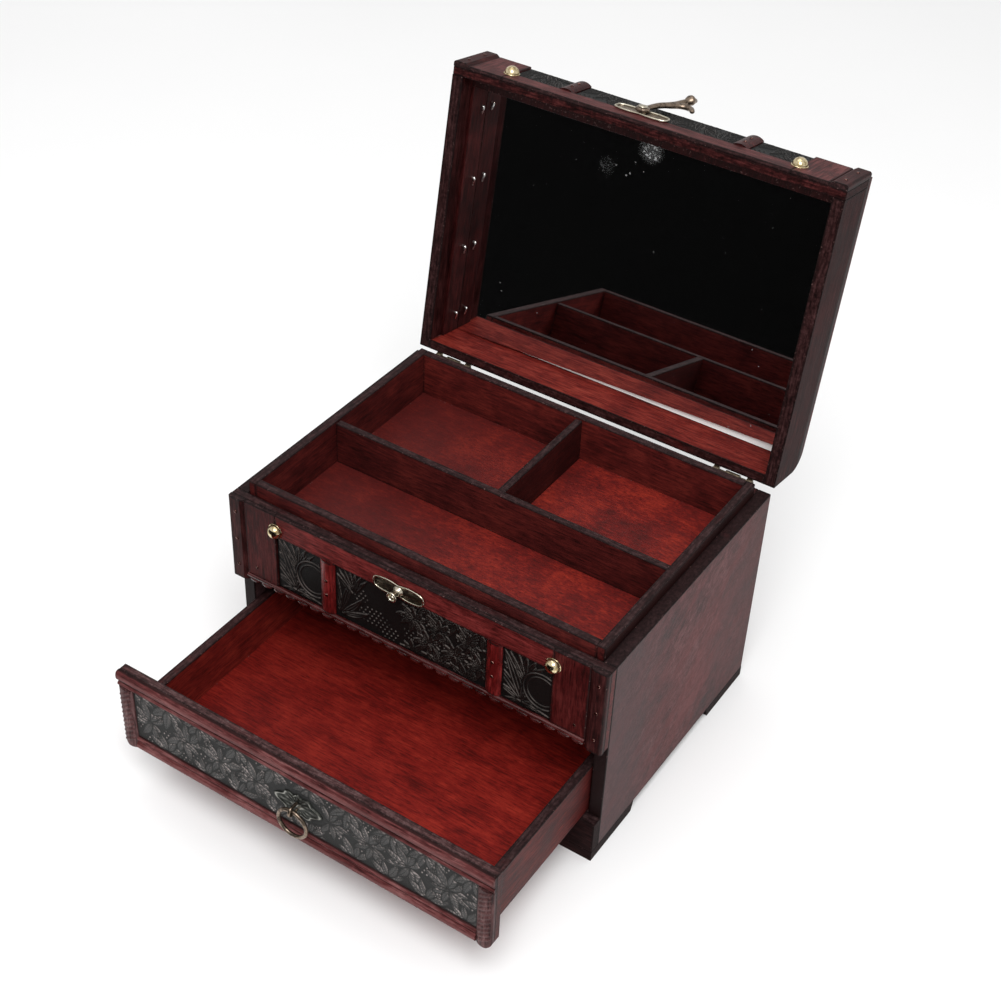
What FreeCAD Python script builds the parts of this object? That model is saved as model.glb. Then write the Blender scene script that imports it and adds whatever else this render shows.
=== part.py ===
"""Retro wooden jewelry box: hinged lid with a mirror, fixed tray with three compartments and one drawer.

Millimetres, +Z up, the front faces -Y. The origin lies under the carcass, on the plane of the feet.
The pieces are made with the lid shut and the drawer home, then set as displayed: lid open, drawer out.
"""
import FreeCAD, Part
import math
import os

from FreeCAD import Vector

# Carcass
body_width = 220.0
body_depth = 154.0
joint_height = 127.0
side_thickness = 7.0
back_thickness = 5.0
foot_height = 6.0
foot_length = 41.0
foot_width = 30.0
foot_chamfer = 2.0
base_strip_height = 20.0
base_strip_thickness = 6.0
bottom_thickness = 4.0
drawer_opening = 49.6
ceiling_thickness = 3.0
edge_ease = 0.5

# Front of the body and of the lid: a thin board with leather and wooden trim on it
front_board_thickness = 4.5
leather_thickness = 0.8
flat_thickness = 2.0
trim_thickness = 3.0
bar_edge = 1.5
post_width = 9.5
post_bevel = 2.2
post_round = 1.4
flat_width = 19.5
strap_spacing = 98.0
strap_width = 8.6
rail_height = 13.5
moulding_height = 4.9
moulding_bead = 1.3
scallop_pitch = 7.7
scallop_depth = 1.6

# Tray
tray_lip = 7.0
tray_depth = 26.0
tray_wall = 4.5
tray_floor_thickness = 3.0
lip_gap = 0.8
divider_thickness = 4.0
divider_drop = 1.0
front_compartment_depth = 60.0
rear_left_compartment_width = 98.5

# Drawer
drawer_side_gap = 0.7
drawer_lift = 0.3
drawer_front_gap = 0.5
drawer_wall = 5.0
drawer_wall_height = 31.0
drawer_floor_thickness = 3.0
drawer_length = 145.0
drawer_top_moulding = 10.0
drawer_bottom_moulding = 8.0
drawer_end_strip = 8.5
drawer_corner_radius = 4.0
drawer_out = 88.0

# Lid
lid_gap = 0.3
lid_wall_height = 27.0
lid_top_thickness = 2.5
lid_border_thickness = 2.0
lid_back_radius = 10.0
lid_rear_border = 10.0
lid_rail_height = 10.5
lid_open_angle = 100.0
mirror_depth = 24.0
mirror_thickness = 2.0
mirror_edge_gap = 0.3
mirror_slant = 5.0
front_mirror_rail = 6.0
side_mirror_rail = 2.0
front_rail_depth = 8.4
side_rail_depth = 10.0

# Hinges
hinge_spacing = 174.0
hinge_width = 22.0
hinge_standoff = 2.0
knuckle_radius = 1.5
centre_knuckle = 8.0
end_knuckle = 3.0
leaf_thickness = 1.0
leaf_height = 12.0
leaf_relief = 2.4
pin_radius = 0.7
pin_clearance = 0.05
pin_overhang = 0.6
screw_radius = 1.6
screw_height = 0.8
screw_spacing = 13.0

# Latch: a stud on the body and a swinging hook on the lid
latch_x = -5.5
plate_length = 30.0
plate_lobe_radius = 5.2
plate_waist = 7.6
plate_thickness = 1.2
plate_recess = 0.6
plate_rim = 1.5
stud_below_joint = 9.5
stud_radius = 2.2
stud_length = 5.5
stud_lip_radius = 2.8
stud_lip_height = 1.6
stud_hole_radius = 1.6
stud_hole_depth = 2.0
pivot_above_rim = 11.5
post_radius = 1.5
post_head_radius = 2.7
post_head_height = 0.8
hook_gap = 0.3
hook_bore_clearance = 0.08
hook_eye_radius = 3.5
hook_thickness = 1.8
hook_bar_width = 2.6
hook_stud_clearance = 0.4
hook_knob_radius = 2.2
hook_claw_reach = 1.8
hook_fork_rise = 5.0
hook_tail = 5.5
hook_tail_spread = 3.0
hook_open_angle = 145.0

# Ring pull
escutcheon_length = 29.0
escutcheon_height = 15.0
escutcheon_waist = 6.0
escutcheon_lobe_radius = 3.4
escutcheon_thickness = 1.0
staple_wire = 0.8
staple_standoff = 6.0
staple_gap = 0.35
ring_outer_radius = 9.2
ring_wire = 1.0

# Tacks, nails and brads
tack_radius = 4.3
tack_height = 3.9
tack_below_joint = 10.0
tack_above_rim = 10.0
nail_radius = 0.9
nail_height = 0.5
nail_inset = 12.0
lid_nail_inset = 6.0
moulding_nail_inset = 6.0
post_nail_count = 3
lid_post_nail_count = 2
brad_radius = 0.5
brad_length = 1.4
brad_count = 4
brad_end_inset = 12.0
brad_from_mirror = 5.0

# Derived planes
half_width = body_width / 2
inner_half = half_width - side_thickness
front_y = -body_depth / 2
back_y = body_depth / 2
back_inner_y = back_y - back_thickness
board_y = front_y - front_board_thickness
flat_y = board_y - flat_thickness
trim_y = board_y - trim_thickness
base_top = foot_height + base_strip_height
panel_bottom = base_top + drawer_opening
tray_top = joint_height + tray_lip
tray_floor_top = tray_top - tray_depth
post_inner = half_width - post_width
leather_half = post_inner - flat_width
strap_inner = (strap_spacing - strap_width) / 2
strap_outer = (strap_spacing + strap_width) / 2
rim_z = joint_height + lid_gap
lid_under = rim_z + lid_wall_height
lid_board_top = lid_under + lid_top_thickness
lid_top = lid_board_top + lid_border_thickness
lid_inner_half = inner_half + lip_gap
mirror_z = rim_z + mirror_depth
hinge_y = back_y + hinge_standoff
hinge_z = joint_height + lid_gap / 2

X_AXIS = Vector(1, 0, 0)
Y_AXIS = Vector(0, 1, 0)
ORIGIN = Vector(0, 0, 0)


def block(x, y, z):
    """A plain block between two limits on each axis."""
    return Part.makeBox(x[1] - x[0], y[1] - y[0], z[1] - z[0], Vector(x[0], y[0], z[0]))


def board(x, y, z):
    """A block with all its edges eased, as sanded wood."""
    solid = block(x, y, z)
    return solid.makeFillet(edge_ease, solid.Edges)


def outline_face(points):
    """A flat face on a closed outline. A point given as a pair (middle, end) is an arc."""
    edges = []
    last = points[0]
    for point in points[1:] + points[:1]:
        if isinstance(point, tuple):
            edges.append(Part.Arc(last, point[0], point[1]).toShape())
            last = point[1]
        else:
            edges.append(Part.LineSegment(last, point).toShape())
            last = point
    return Part.Face(Part.Wire(edges))


def prism(points, direction):
    """A straight prism on a closed outline."""
    return outline_face(points).extrude(direction)


def bowed_bar(width, crown, length):
    """A bar with a rounded face: width along X, crown towards -Y, length along +Z from the origin."""
    half = width / 2
    outline = [
        Vector(-half, 0, 0),
        Vector(half, 0, 0),
        Vector(half, -bar_edge, 0),
        (Vector(0, -crown, 0), Vector(-half, -bar_edge, 0)),
    ]
    return prism(outline, Vector(0, 0, length))


def bar_along_x(height, crown, x, y, z):
    """A bowed bar lying along X between two limits, its back at y and its middle at z."""
    bar = bowed_bar(height, crown, x[1] - x[0])
    bar.rotate(ORIGIN, Y_AXIS, 90)
    bar.translate(Vector(x[0], y, z))
    return bar


def mirrored(shape):
    """The left-hand copy of a right-hand piece."""
    return shape.mirror(ORIGIN, X_AXIS)


def pair(shape):
    return Part.Compound([shape, mirrored(shape)])


def front_dome(radius, height, x, y, z):
    """A domed nail head on a face that looks towards -Y."""
    sphere_radius = (radius ** 2 + height ** 2) / (2 * height)
    rise = Vector(radius / 2, 0, 0)
    rise.y = -math.sqrt(sphere_radius ** 2 - rise.x ** 2) + sphere_radius - height
    outline = [ORIGIN, Vector(radius, 0, 0), (rise, Vector(0, -height, 0))]
    dome = outline_face(outline).revolve(ORIGIN, Y_AXIS, 360)
    dome.translate(Vector(x, y, z))
    return dome


def back_dome(radius, height, x, y, z):
    """A domed screw head on a face that looks towards +Y."""
    dome = front_dome(radius, height, x, -y, z)
    return dome.mirror(ORIGIN, Y_AXIS)


parts = {}


def add(name, shape):
    parts[name] = shape


# Carcass boards
side = board((inner_half, half_width), (front_y, back_y), (foot_height, joint_height))
add("right_side_panel", side)
add("left_side_panel", mirrored(side))
add("back_board", board((-inner_half, inner_half), (back_inner_y, back_y), (foot_height, joint_height)))
bay_y = (front_y, back_inner_y)
add("bottom_board", board((-inner_half, inner_half), bay_y, (base_top - bottom_thickness, base_top)))
ceiling_z = (panel_bottom, panel_bottom + ceiling_thickness)
add("bay_ceiling_board", board((-inner_half, inner_half), bay_y, ceiling_z))
add("front_board", board((-half_width, half_width), (board_y, front_y), (panel_bottom, joint_height)))
base_strip_y = front_y - base_strip_thickness
add("base_strip", board((-half_width, half_width), (base_strip_y, front_y), (foot_height, base_top)))


def corner_foot(outer_y, inner_y, chamfer):
    """A low foot under one right-hand corner, bevelled at the end that shows along the side."""
    x = half_width - foot_width
    outline = [
        Vector(x, outer_y, 0),
        Vector(x, inner_y - chamfer, 0),
        Vector(x, inner_y, foot_height),
        Vector(x, outer_y, foot_height),
    ]
    return prism(outline, Vector(foot_width, 0, 0))


front_foot = corner_foot(base_strip_y, base_strip_y + foot_length, foot_chamfer)
back_foot = corner_foot(back_y, back_y - foot_length, -foot_chamfer)
add("corner_feet", Part.Compound([front_foot, mirrored(front_foot), back_foot, mirrored(back_foot)]))


def post(bottom, top):
    """A corner post on the right: bevelled towards the middle, rounded at the outer corner."""
    turn = post_round * (1 - math.sqrt(0.5))
    outline = [
        Vector(post_inner, board_y, bottom),
        Vector(post_inner, board_y - bar_edge, bottom),
        Vector(post_inner + post_bevel, trim_y, bottom),
        Vector(half_width - post_round, trim_y, bottom),
        (
            Vector(half_width - turn, trim_y + turn, bottom),
            Vector(half_width, trim_y + post_round, bottom),
        ),
        Vector(half_width, board_y, bottom),
    ]
    return prism(outline, Vector(0, 0, top - bottom))


def strap(bottom, top):
    """The right-hand one of two rounded straps that run up the front."""
    bar = bowed_bar(strap_width, trim_thickness, top - bottom)
    bar.translate(Vector(strap_spacing / 2, board_y, bottom))
    return bar


def leather_panels(y, z):
    """The leather between the two straps and at their outer sides, as three cut panels."""
    middle = block((-strap_inner, strap_inner), y, z)
    end = block((strap_outer, leather_half), y, z)
    return Part.Compound([middle, end, mirrored(end)])


# Trim on the body's front
leather_bottom = panel_bottom + moulding_height
rail_bottom = joint_height - rail_height
add("front_posts", pair(post(panel_bottom, joint_height)))
flat = board((leather_half, post_inner), (flat_y, board_y), (leather_bottom, joint_height))
add("front_flats", pair(flat))
add("front_rail", board((-leather_half, leather_half), (flat_y, board_y), (rail_bottom, joint_height)))
add("front_straps", pair(strap(leather_bottom, rail_bottom)))
leather_y = (board_y - leather_thickness, board_y)
add("front_leather", leather_panels(leather_y, (leather_bottom, rail_bottom)))


def scalloped_moulding():
    """A strip with a row of small scallops along its lower edge and a round bead along its upper edge."""
    length = 2 * post_inner
    count = round(length / scallop_pitch)
    pitch = length / count
    edge_z = panel_bottom + scallop_depth
    outline = [Vector(post_inner, board_y, leather_bottom), Vector(-post_inner, board_y, leather_bottom)]
    outline.append(Vector(-post_inner, board_y, edge_z))
    for index in range(count):
        start = -post_inner + index * pitch
        low = Vector(start + pitch / 2, board_y, panel_bottom)
        outline.append((low, Vector(start + pitch, board_y, edge_z)))
    strip = prism(outline, Vector(0, -flat_thickness, 0))
    bead_z = leather_bottom - moulding_bead
    bead = Part.makeCylinder(moulding_bead, length, Vector(-post_inner, flat_y, bead_z), X_AXIS)
    return strip.fuse(bead).removeSplitter()


add("scalloped_moulding", scalloped_moulding())

# Tray, glued between the side panels
tray_y = (front_y + lip_gap, back_inner_y - lip_gap)
tray_inner_y = (tray_y[0] + tray_wall, tray_y[1] - tray_wall)
tray_inner_half = inner_half - tray_wall
tray_z = (tray_floor_top - tray_floor_thickness, tray_top)
tray_side = board((tray_inner_half, inner_half), tray_y, tray_z)
add("tray_side_walls", pair(tray_side))
tray_x = (-tray_inner_half, tray_inner_half)
add("tray_front_wall", board(tray_x, (tray_y[0], tray_inner_y[0]), tray_z))
add("tray_back_wall", board(tray_x, (tray_inner_y[1], tray_y[1]), tray_z))
add("tray_floor", block(tray_x, tray_inner_y, (tray_z[0], tray_floor_top)))
divider_z = (tray_floor_top, tray_top - divider_drop)
long_divider_y = tray_inner_y[0] + front_compartment_depth
rear_start_y = long_divider_y + divider_thickness
add("tray_long_divider", board(tray_x, (long_divider_y, rear_start_y), divider_z))
short_divider_x = -tray_inner_half + rear_left_compartment_width
short_divider_span = (short_divider_x, short_divider_x + divider_thickness)
add("tray_short_divider", board(short_divider_span, (rear_start_y, tray_inner_y[1]), divider_z))

# Drawer
drawer_half = inner_half - drawer_side_gap
drawer_inner_half = drawer_half - drawer_wall
drawer_z = base_top + drawer_lift
drawer_wall_z = (drawer_z, drawer_z + drawer_wall_height)
drawer_back_y = front_y + drawer_length
drawer_inner_back_y = drawer_back_y - drawer_wall
drawer_side = board((drawer_inner_half, drawer_half), (front_y, drawer_back_y), drawer_wall_z)
add("drawer_right_side", drawer_side)
add("drawer_left_side", mirrored(drawer_side))
drawer_x = (-drawer_inner_half, drawer_inner_half)
add("drawer_back", board(drawer_x, (drawer_inner_back_y, drawer_back_y), drawer_wall_z))
drawer_floor_z = (drawer_z, drawer_z + drawer_floor_thickness)
add("drawer_floor", block(drawer_x, (front_y, drawer_inner_back_y), drawer_floor_z))
drawer_front_half = half_width - drawer_front_gap
drawer_front_z = (base_top + drawer_front_gap, panel_bottom - drawer_front_gap)
drawer_front_x = (-drawer_front_half, drawer_front_half)


def drawer_corner(shape):
    """The drawer's front pieces share the two rounded lower corners of its front."""
    corner = drawer_corner_radius
    turn = corner * (1 - math.sqrt(0.5))
    low, high = drawer_front_z
    left, right = drawer_front_x
    outline = [
        Vector(left, trim_y, high),
        Vector(left, trim_y, low + corner),
        (Vector(left + turn, trim_y, low + turn), Vector(left + corner, trim_y, low)),
        Vector(right - corner, trim_y, low),
        (Vector(right - turn, trim_y, low + turn), Vector(right, trim_y, low + corner)),
        Vector(right, trim_y, high),
    ]
    return shape.common(prism(outline, Vector(0, front_y - trim_y, 0)))


add("drawer_front_board", drawer_corner(board(drawer_front_x, (board_y, front_y), drawer_front_z)))
drawer_leather_z = (drawer_front_z[0] + drawer_bottom_moulding, drawer_front_z[1] - drawer_top_moulding)
drawer_leather_half = drawer_front_half - drawer_end_strip
drawer_leather_y = board_y - leather_thickness
drawer_leather_x = (-drawer_leather_half, drawer_leather_half)
add("drawer_leather", block(drawer_leather_x, (drawer_leather_y, board_y), drawer_leather_z))
mouldings = []
for height, span, edge_z, middle in (
    (drawer_top_moulding, drawer_front_x, drawer_front_z[1], -drawer_top_moulding / 2),
    (drawer_bottom_moulding, drawer_leather_x, drawer_front_z[0], drawer_bottom_moulding / 2),
):
    mouldings.append(bar_along_x(height, trim_thickness, span, board_y, edge_z + middle))
add("drawer_mouldings", Part.Compound(mouldings))
end_strip = bowed_bar(drawer_end_strip, trim_thickness, drawer_leather_z[1] - drawer_front_z[0])
end_strip.translate(Vector(drawer_front_half - drawer_end_strip / 2, board_y, drawer_front_z[0]))
add("drawer_end_strips", pair(drawer_corner(end_strip)))

# Ring pull on the drawer
pull_z = (drawer_leather_z[0] + drawer_leather_z[1]) / 2
escutcheon_y = drawer_leather_y - escutcheon_thickness


def escutcheon():
    """A lobed plate: a round boss in the middle of a short bar with two small round lobes at each end."""
    end_x = escutcheon_length / 2 - escutcheon_lobe_radius
    half_waist = escutcheon_waist / 2
    boss_start = Vector(0, escutcheon_y, pull_z)
    plate = Part.makeCylinder(escutcheon_height / 2, escutcheon_thickness, boss_start, Y_AXIS)
    bar_z = (pull_z - half_waist, pull_z + half_waist)
    plate = plate.fuse(block((-end_x, end_x), (escutcheon_y, drawer_leather_y), bar_z))
    for x in (-end_x, end_x):
        for z in bar_z:
            start = Vector(x, escutcheon_y, z)
            lobe = Part.makeCylinder(escutcheon_lobe_radius, escutcheon_thickness, start, Y_AXIS)
            plate = plate.fuse(lobe)
    return plate.removeSplitter()


add("escutcheon", escutcheon())
ring_y = escutcheon_y - staple_standoff + staple_wire + staple_gap + ring_wire
ring_top_z = pull_z


def staple():
    """A round wire bent to an eye that stands out of the plate and holds the ring."""
    eye = ring_wire + staple_gap + staple_wire
    bend = Part.makeTorus(eye, staple_wire, Vector(0, ring_y, ring_top_z), X_AXIS)
    reach = eye + staple_wire
    outer = block((-reach, reach), (ring_y - reach, ring_y), (ring_top_z - reach, ring_top_z + reach))
    legs = []
    for z in (ring_top_z - eye, ring_top_z + eye):
        legs.append(Part.makeCylinder(staple_wire, escutcheon_y - ring_y, Vector(0, ring_y, z), Y_AXIS))
    return bend.common(outer).fuse(legs).removeSplitter()


add("ring_staple", staple())
ring_radius = ring_outer_radius - ring_wire
ring_centre = Vector(0, ring_y, ring_top_z - ring_radius)
add("pull_ring", Part.makeTorus(ring_radius, ring_wire, ring_centre, Y_AXIS))


def latch_plate(y, z):
    """A long plate with two round lobes, each with a sunk field inside a raised rim."""
    lobe_x = plate_length / 2 - plate_lobe_radius
    plate = block((-lobe_x, lobe_x), (y - plate_thickness, y), (z - plate_waist / 2, z + plate_waist / 2))
    for x in (-lobe_x, lobe_x):
        start = Vector(x, y - plate_thickness, z)
        plate = plate.fuse(Part.makeCylinder(plate_lobe_radius, plate_thickness, start, Y_AXIS))
    field_radius = plate_lobe_radius - plate_rim
    field_reach = lobe_x - plate_lobe_radius
    for sign in (-1, 1):
        start = Vector(sign * lobe_x, y - plate_thickness, z)
        field = Part.makeCylinder(field_radius, plate_recess, start, Y_AXIS)
        limits = sorted((sign * lobe_x, sign * (lobe_x - field_reach)))
        waist = plate_waist / 2 - plate_rim
        field = field.fuse(block(limits, (start.y, start.y + plate_recess), (z - waist, z + waist)))
        plate = plate.cut(field)
    plate.translate(Vector(latch_x, 0, 0))
    return plate.removeSplitter()


# Latch: the stud's plate lies on the rail, the hook's plate on the lid's rail
plate_front = flat_y - plate_thickness
stud_z = joint_height - stud_below_joint
pivot_z = rim_z + pivot_above_rim
stud = Part.makeCylinder(stud_radius, stud_length, Vector(latch_x, plate_front, stud_z), -Y_AXIS)
stud_hole_start = Vector(latch_x, plate_front - stud_length, stud_z)
stud = stud.fuse(Part.makeCylinder(stud_lip_radius, stud_lip_height, stud_hole_start, Y_AXIS))
stud = stud.cut(Part.makeCylinder(stud_hole_radius, stud_hole_depth, stud_hole_start, Y_AXIS))
add("latch_catch", latch_plate(flat_y, stud_z).fuse(stud).removeSplitter())
hook_back = plate_front - hook_gap
hook_front = hook_back - hook_thickness
head_back = hook_front - hook_gap
post_start = Vector(latch_x, plate_front, pivot_z)
pivot_post = Part.makeCylinder(post_radius, plate_front - head_back, post_start, -Y_AXIS)
head_start = Vector(latch_x, head_back, pivot_z)
pivot_head = Part.makeCylinder(post_head_radius, post_head_height, head_start, -Y_AXIS)
add("lid_latch_plate", latch_plate(flat_y, pivot_z).fuse([pivot_post, pivot_head]).removeSplitter())


def bar_between(start, end, width):
    """A flat bar with round ends in the hook's plane, between two (x, z) points."""
    dx = end[0] - start[0]
    dz = end[1] - start[1]
    length = math.hypot(dx, dz)
    bar = block((0, length), (hook_front, hook_back), (-width / 2, width / 2))
    bar.rotate(ORIGIN, Y_AXIS, -math.degrees(math.atan2(dz, dx)))
    bar.translate(Vector(start[0], 0, start[1]))
    caps = []
    for x, z in (start, end):
        caps.append(Part.makeCylinder(width / 2, hook_thickness, Vector(x, hook_front, z), Y_AXIS))
    return bar.fuse(caps)


def latch_hook():
    """The hook on its stud: an eye, an arm beside the stud that forks into a claw under it and a tail with a knob."""
    reach = pivot_z - stud_z
    beside = latch_x + stud_radius + hook_stud_clearance + hook_bar_width / 2
    claw_z = stud_z - stud_radius - hook_stud_clearance - hook_bar_width / 2
    claw_x = latch_x - stud_radius - hook_claw_reach
    elbow = (beside, pivot_z - reach / 2)
    corner = (beside, claw_z)
    fork = (beside, claw_z + hook_fork_rise)
    knob = (beside + hook_tail_spread, claw_z - hook_tail)
    hook = Part.makeCylinder(hook_eye_radius, hook_thickness, Vector(latch_x, hook_front, pivot_z), Y_AXIS)
    hook = hook.fuse(
        [
            bar_between((latch_x, pivot_z), elbow, hook_bar_width),
            bar_between(elbow, corner, hook_bar_width),
            bar_between(corner, (claw_x, claw_z), hook_bar_width),
            bar_between(fork, knob, hook_bar_width),
            Part.makeSphere(hook_knob_radius, Vector(knob[0], (hook_front + hook_back) / 2, knob[1])),
        ]
    )
    bore_radius = post_radius + hook_bore_clearance
    bore = Part.makeCylinder(bore_radius, hook_thickness, Vector(latch_x, hook_front, pivot_z), Y_AXIS)
    hook = hook.cut(bore).removeSplitter()
    hook.rotate(Vector(latch_x, 0, pivot_z), Y_AXIS, -hook_open_angle)
    return hook


add("latch_hook", latch_hook())


def lid_section(x, y, z):
    """A piece of the lid between two limits on each axis, rounded at the lid's rear upper edge."""
    turn = lid_back_radius * (1 - math.sqrt(0.5))
    outline = [
        Vector(x[0], trim_y, rim_z),
        Vector(x[0], back_y, rim_z),
        Vector(x[0], back_y, lid_top - lid_back_radius),
        (Vector(x[0], back_y - turn, lid_top - turn), Vector(x[0], back_y - lid_back_radius, lid_top)),
        Vector(x[0], trim_y, lid_top),
    ]
    return prism(outline, Vector(x[1] - x[0], 0, 0)).common(block(x, y, z))


# Lid boards
lid_wall_z = (rim_z, lid_under)
add("lid_front_board", board((-half_width, half_width), (board_y, front_y), lid_wall_z))
lid_side = lid_section((lid_inner_half, half_width), (front_y, back_y), lid_wall_z)
add("lid_right_wall", lid_side)
add("lid_left_wall", mirrored(lid_side))
add("lid_back_wall", lid_section((-lid_inner_half, lid_inner_half), (back_inner_y, back_y), lid_wall_z))
lid_board_z = (lid_under, lid_board_top)
add("lid_top_board", lid_section((-half_width, half_width), (board_y, back_y), lid_board_z))

# Trim on the lid's front and top
lid_leather_bottom = rim_z + lid_rail_height
add("lid_posts", pair(post(rim_z, lid_board_top)))
lid_flat = board((leather_half, post_inner), (flat_y, board_y), (rim_z, lid_board_top))
add("lid_flats", pair(lid_flat))
add("lid_rim_rail", board((-leather_half, leather_half), (flat_y, board_y), (rim_z, lid_leather_bottom)))
add("lid_front_leather", leather_panels(leather_y, (lid_leather_bottom, lid_board_top)))
rear_border_y = back_y - lid_back_radius - lid_rear_border
top_strap = bowed_bar(strap_width, trim_thickness, rear_border_y - board_y)
top_strap.rotate(ORIGIN, X_AXIS, -90)
top_strap.translate(Vector(strap_spacing / 2, board_y, lid_board_top))
front_strap = strap(lid_leather_bottom, lid_board_top)
add("lid_straps", Part.Compound([front_strap, mirrored(front_strap), top_strap, mirrored(top_strap)]))
border_z = (lid_board_top, lid_top)
side_border = lid_section((leather_half, half_width), (board_y, back_y), border_z)
rear_border = lid_section((-leather_half, leather_half), (rear_border_y, back_y), border_z)
add("lid_top_borders", Part.Compound([side_border, mirrored(side_border), rear_border]))
top_leather_z = (lid_board_top, lid_board_top + leather_thickness)
add("lid_top_leather", leather_panels((board_y, rear_border_y), top_leather_z))

# Mirror, its backing and the rails that hold it
front_rail_y = (front_y, front_y + front_mirror_rail)
front_rail = board((-lid_inner_half, lid_inner_half), front_rail_y, (rim_z + front_rail_depth, mirror_z))
side_rail_x = (lid_inner_half - side_mirror_rail, lid_inner_half)
side_rail = board(side_rail_x, (front_rail_y[1], back_inner_y), (rim_z + side_rail_depth, mirror_z))
add("mirror_rails", Part.Compound([front_rail, side_rail, mirrored(side_rail)]))
mirror_half = lid_inner_half - mirror_edge_gap
mirror_front_y = front_y + mirror_edge_gap
mirror_back_y = back_inner_y - mirror_edge_gap
mirror_outline = [
    Vector(-mirror_half, mirror_front_y, mirror_z),
    Vector(mirror_half, mirror_front_y, mirror_z),
    Vector(mirror_half, mirror_back_y - mirror_slant, mirror_z),
    Vector(-mirror_half, mirror_back_y, mirror_z),
]
add("mirror", prism(mirror_outline, Vector(0, 0, mirror_thickness)))
card_z = (mirror_z + mirror_thickness, lid_under)
add("mirror_backing", block((-mirror_half, mirror_half), (mirror_front_y, mirror_back_y), card_z))
brads = []
brad_start = front_rail_y[1] + brad_end_inset
brad_step = (back_inner_y - brad_end_inset - brad_start) / (brad_count - 1)
for index in range(brad_count):
    brad_base = Vector(side_rail_x[0], brad_start + index * brad_step, mirror_z - brad_from_mirror)
    brad = Part.makeCylinder(brad_radius, brad_length, brad_base, -X_AXIS)
    brads.extend([brad, mirrored(brad)])
add("rail_brads", Part.Compound(brads))


def leaf(plate_z, tabs):
    """A hinge leaf on the back face, with a knuckle on each tab. A tab is (start, width) along X."""
    reach = hinge_width / 2
    plate = block((-reach, reach), (back_y, back_y + leaf_thickness), plate_z)
    for start, width in tabs:
        span = (start, start + width)
        tab_z = sorted((hinge_z, plate_z[0] if plate_z[0] > hinge_z else plate_z[1]))
        tab = block(span, (back_y, back_y + leaf_thickness), tab_z)
        knuckle = Part.makeCylinder(knuckle_radius, width, Vector(start, hinge_y, hinge_z), X_AXIS)
        side_z = hinge_z + leaf_relief if plate_z[0] > hinge_z else hinge_z - leaf_relief
        web = block(span, (back_y, hinge_y - knuckle_radius / 2), sorted((hinge_z, (hinge_z + side_z) / 2)))
        plate = plate.fuse([tab, knuckle, web])
    for start, width in tabs:
        bore_start = Vector(start, hinge_y, hinge_z)
        plate = plate.cut(Part.makeCylinder(pin_radius + pin_clearance, width, bore_start, X_AXIS))
    plate = plate.removeSplitter()
    plate.translate(Vector(hinge_spacing / 2, 0, 0))
    return plate


# Hinges on the back: the body's leaf has one wide knuckle, the lid's leaf has two narrow ones
body_leaf_z = (hinge_z - leaf_relief - leaf_height, hinge_z - leaf_relief)
lid_leaf_z = (hinge_z + leaf_relief, hinge_z + leaf_relief + leaf_height)
add("body_hinge_leaves", pair(leaf(body_leaf_z, [(-centre_knuckle / 2, centre_knuckle)])))
end_start = hinge_width / 2 - end_knuckle
add("lid_hinge_leaves", pair(leaf(lid_leaf_z, [(-hinge_width / 2, end_knuckle), (end_start, end_knuckle)])))
pin_length = hinge_width + 2 * pin_overhang
pin_start = Vector((hinge_spacing - pin_length) / 2, hinge_y, hinge_z)
add("hinge_pins", pair(Part.makeCylinder(pin_radius, pin_length, pin_start, X_AXIS)))


def leaf_screws(plate_z):
    """Two screw heads on each leaf, right and left."""
    heads = []
    for offset in (-screw_spacing / 2, screw_spacing / 2):
        x = hinge_spacing / 2 + offset
        z = (plate_z[0] + plate_z[1]) / 2
        head = back_dome(screw_radius, screw_height, x, back_y + leaf_thickness, z)
        heads.extend([head, mirrored(head)])
    return Part.Compound(heads)


add("body_hinge_screws", leaf_screws(body_leaf_z))
add("lid_hinge_screws", leaf_screws(lid_leaf_z))

# Dome tacks where rail, flat and leather meet, and small nails
tack_z = joint_height - tack_below_joint
add("body_tacks", pair(front_dome(tack_radius, tack_height, leather_half, flat_y, tack_z)))
lid_tack_z = rim_z + tack_above_rim
add("lid_tacks", pair(front_dome(tack_radius, tack_height, leather_half, flat_y, lid_tack_z)))


def strap_nails(bottom, top, inset):
    """Two nails on each strap, one above the other."""
    nails = []
    for z in (bottom + inset, top - inset):
        nail = front_dome(nail_radius, nail_height, strap_spacing / 2, trim_y, z)
        nails.extend([nail, mirrored(nail)])
    return nails


def post_nails(bottom, top, count):
    """A row of nails up the flat of each corner post."""
    nails = []
    x = (post_inner + post_bevel + half_width - post_round) / 2
    for index in range(count):
        z = bottom + (top - bottom) * (index + 0.5) / count
        nail = front_dome(nail_radius, nail_height, x, trim_y, z)
        nails.extend([nail, mirrored(nail)])
    return nails


body_nails = strap_nails(leather_bottom, rail_bottom, nail_inset)
body_nails += post_nails(panel_bottom, joint_height, post_nail_count)
moulding_nail_z = leather_bottom + moulding_nail_inset
moulding_nail_x = post_inner - moulding_nail_inset
moulding_nail = front_dome(nail_radius, nail_height, moulding_nail_x, flat_y, moulding_nail_z)
body_nails.extend([moulding_nail, mirrored(moulding_nail)])
add("body_nails", Part.Compound(body_nails))
lid_nails = strap_nails(lid_leather_bottom, lid_board_top, lid_nail_inset)
lid_nails += post_nails(rim_z, lid_board_top, lid_post_nail_count)
add("lid_nails", Part.Compound(lid_nails))

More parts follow.
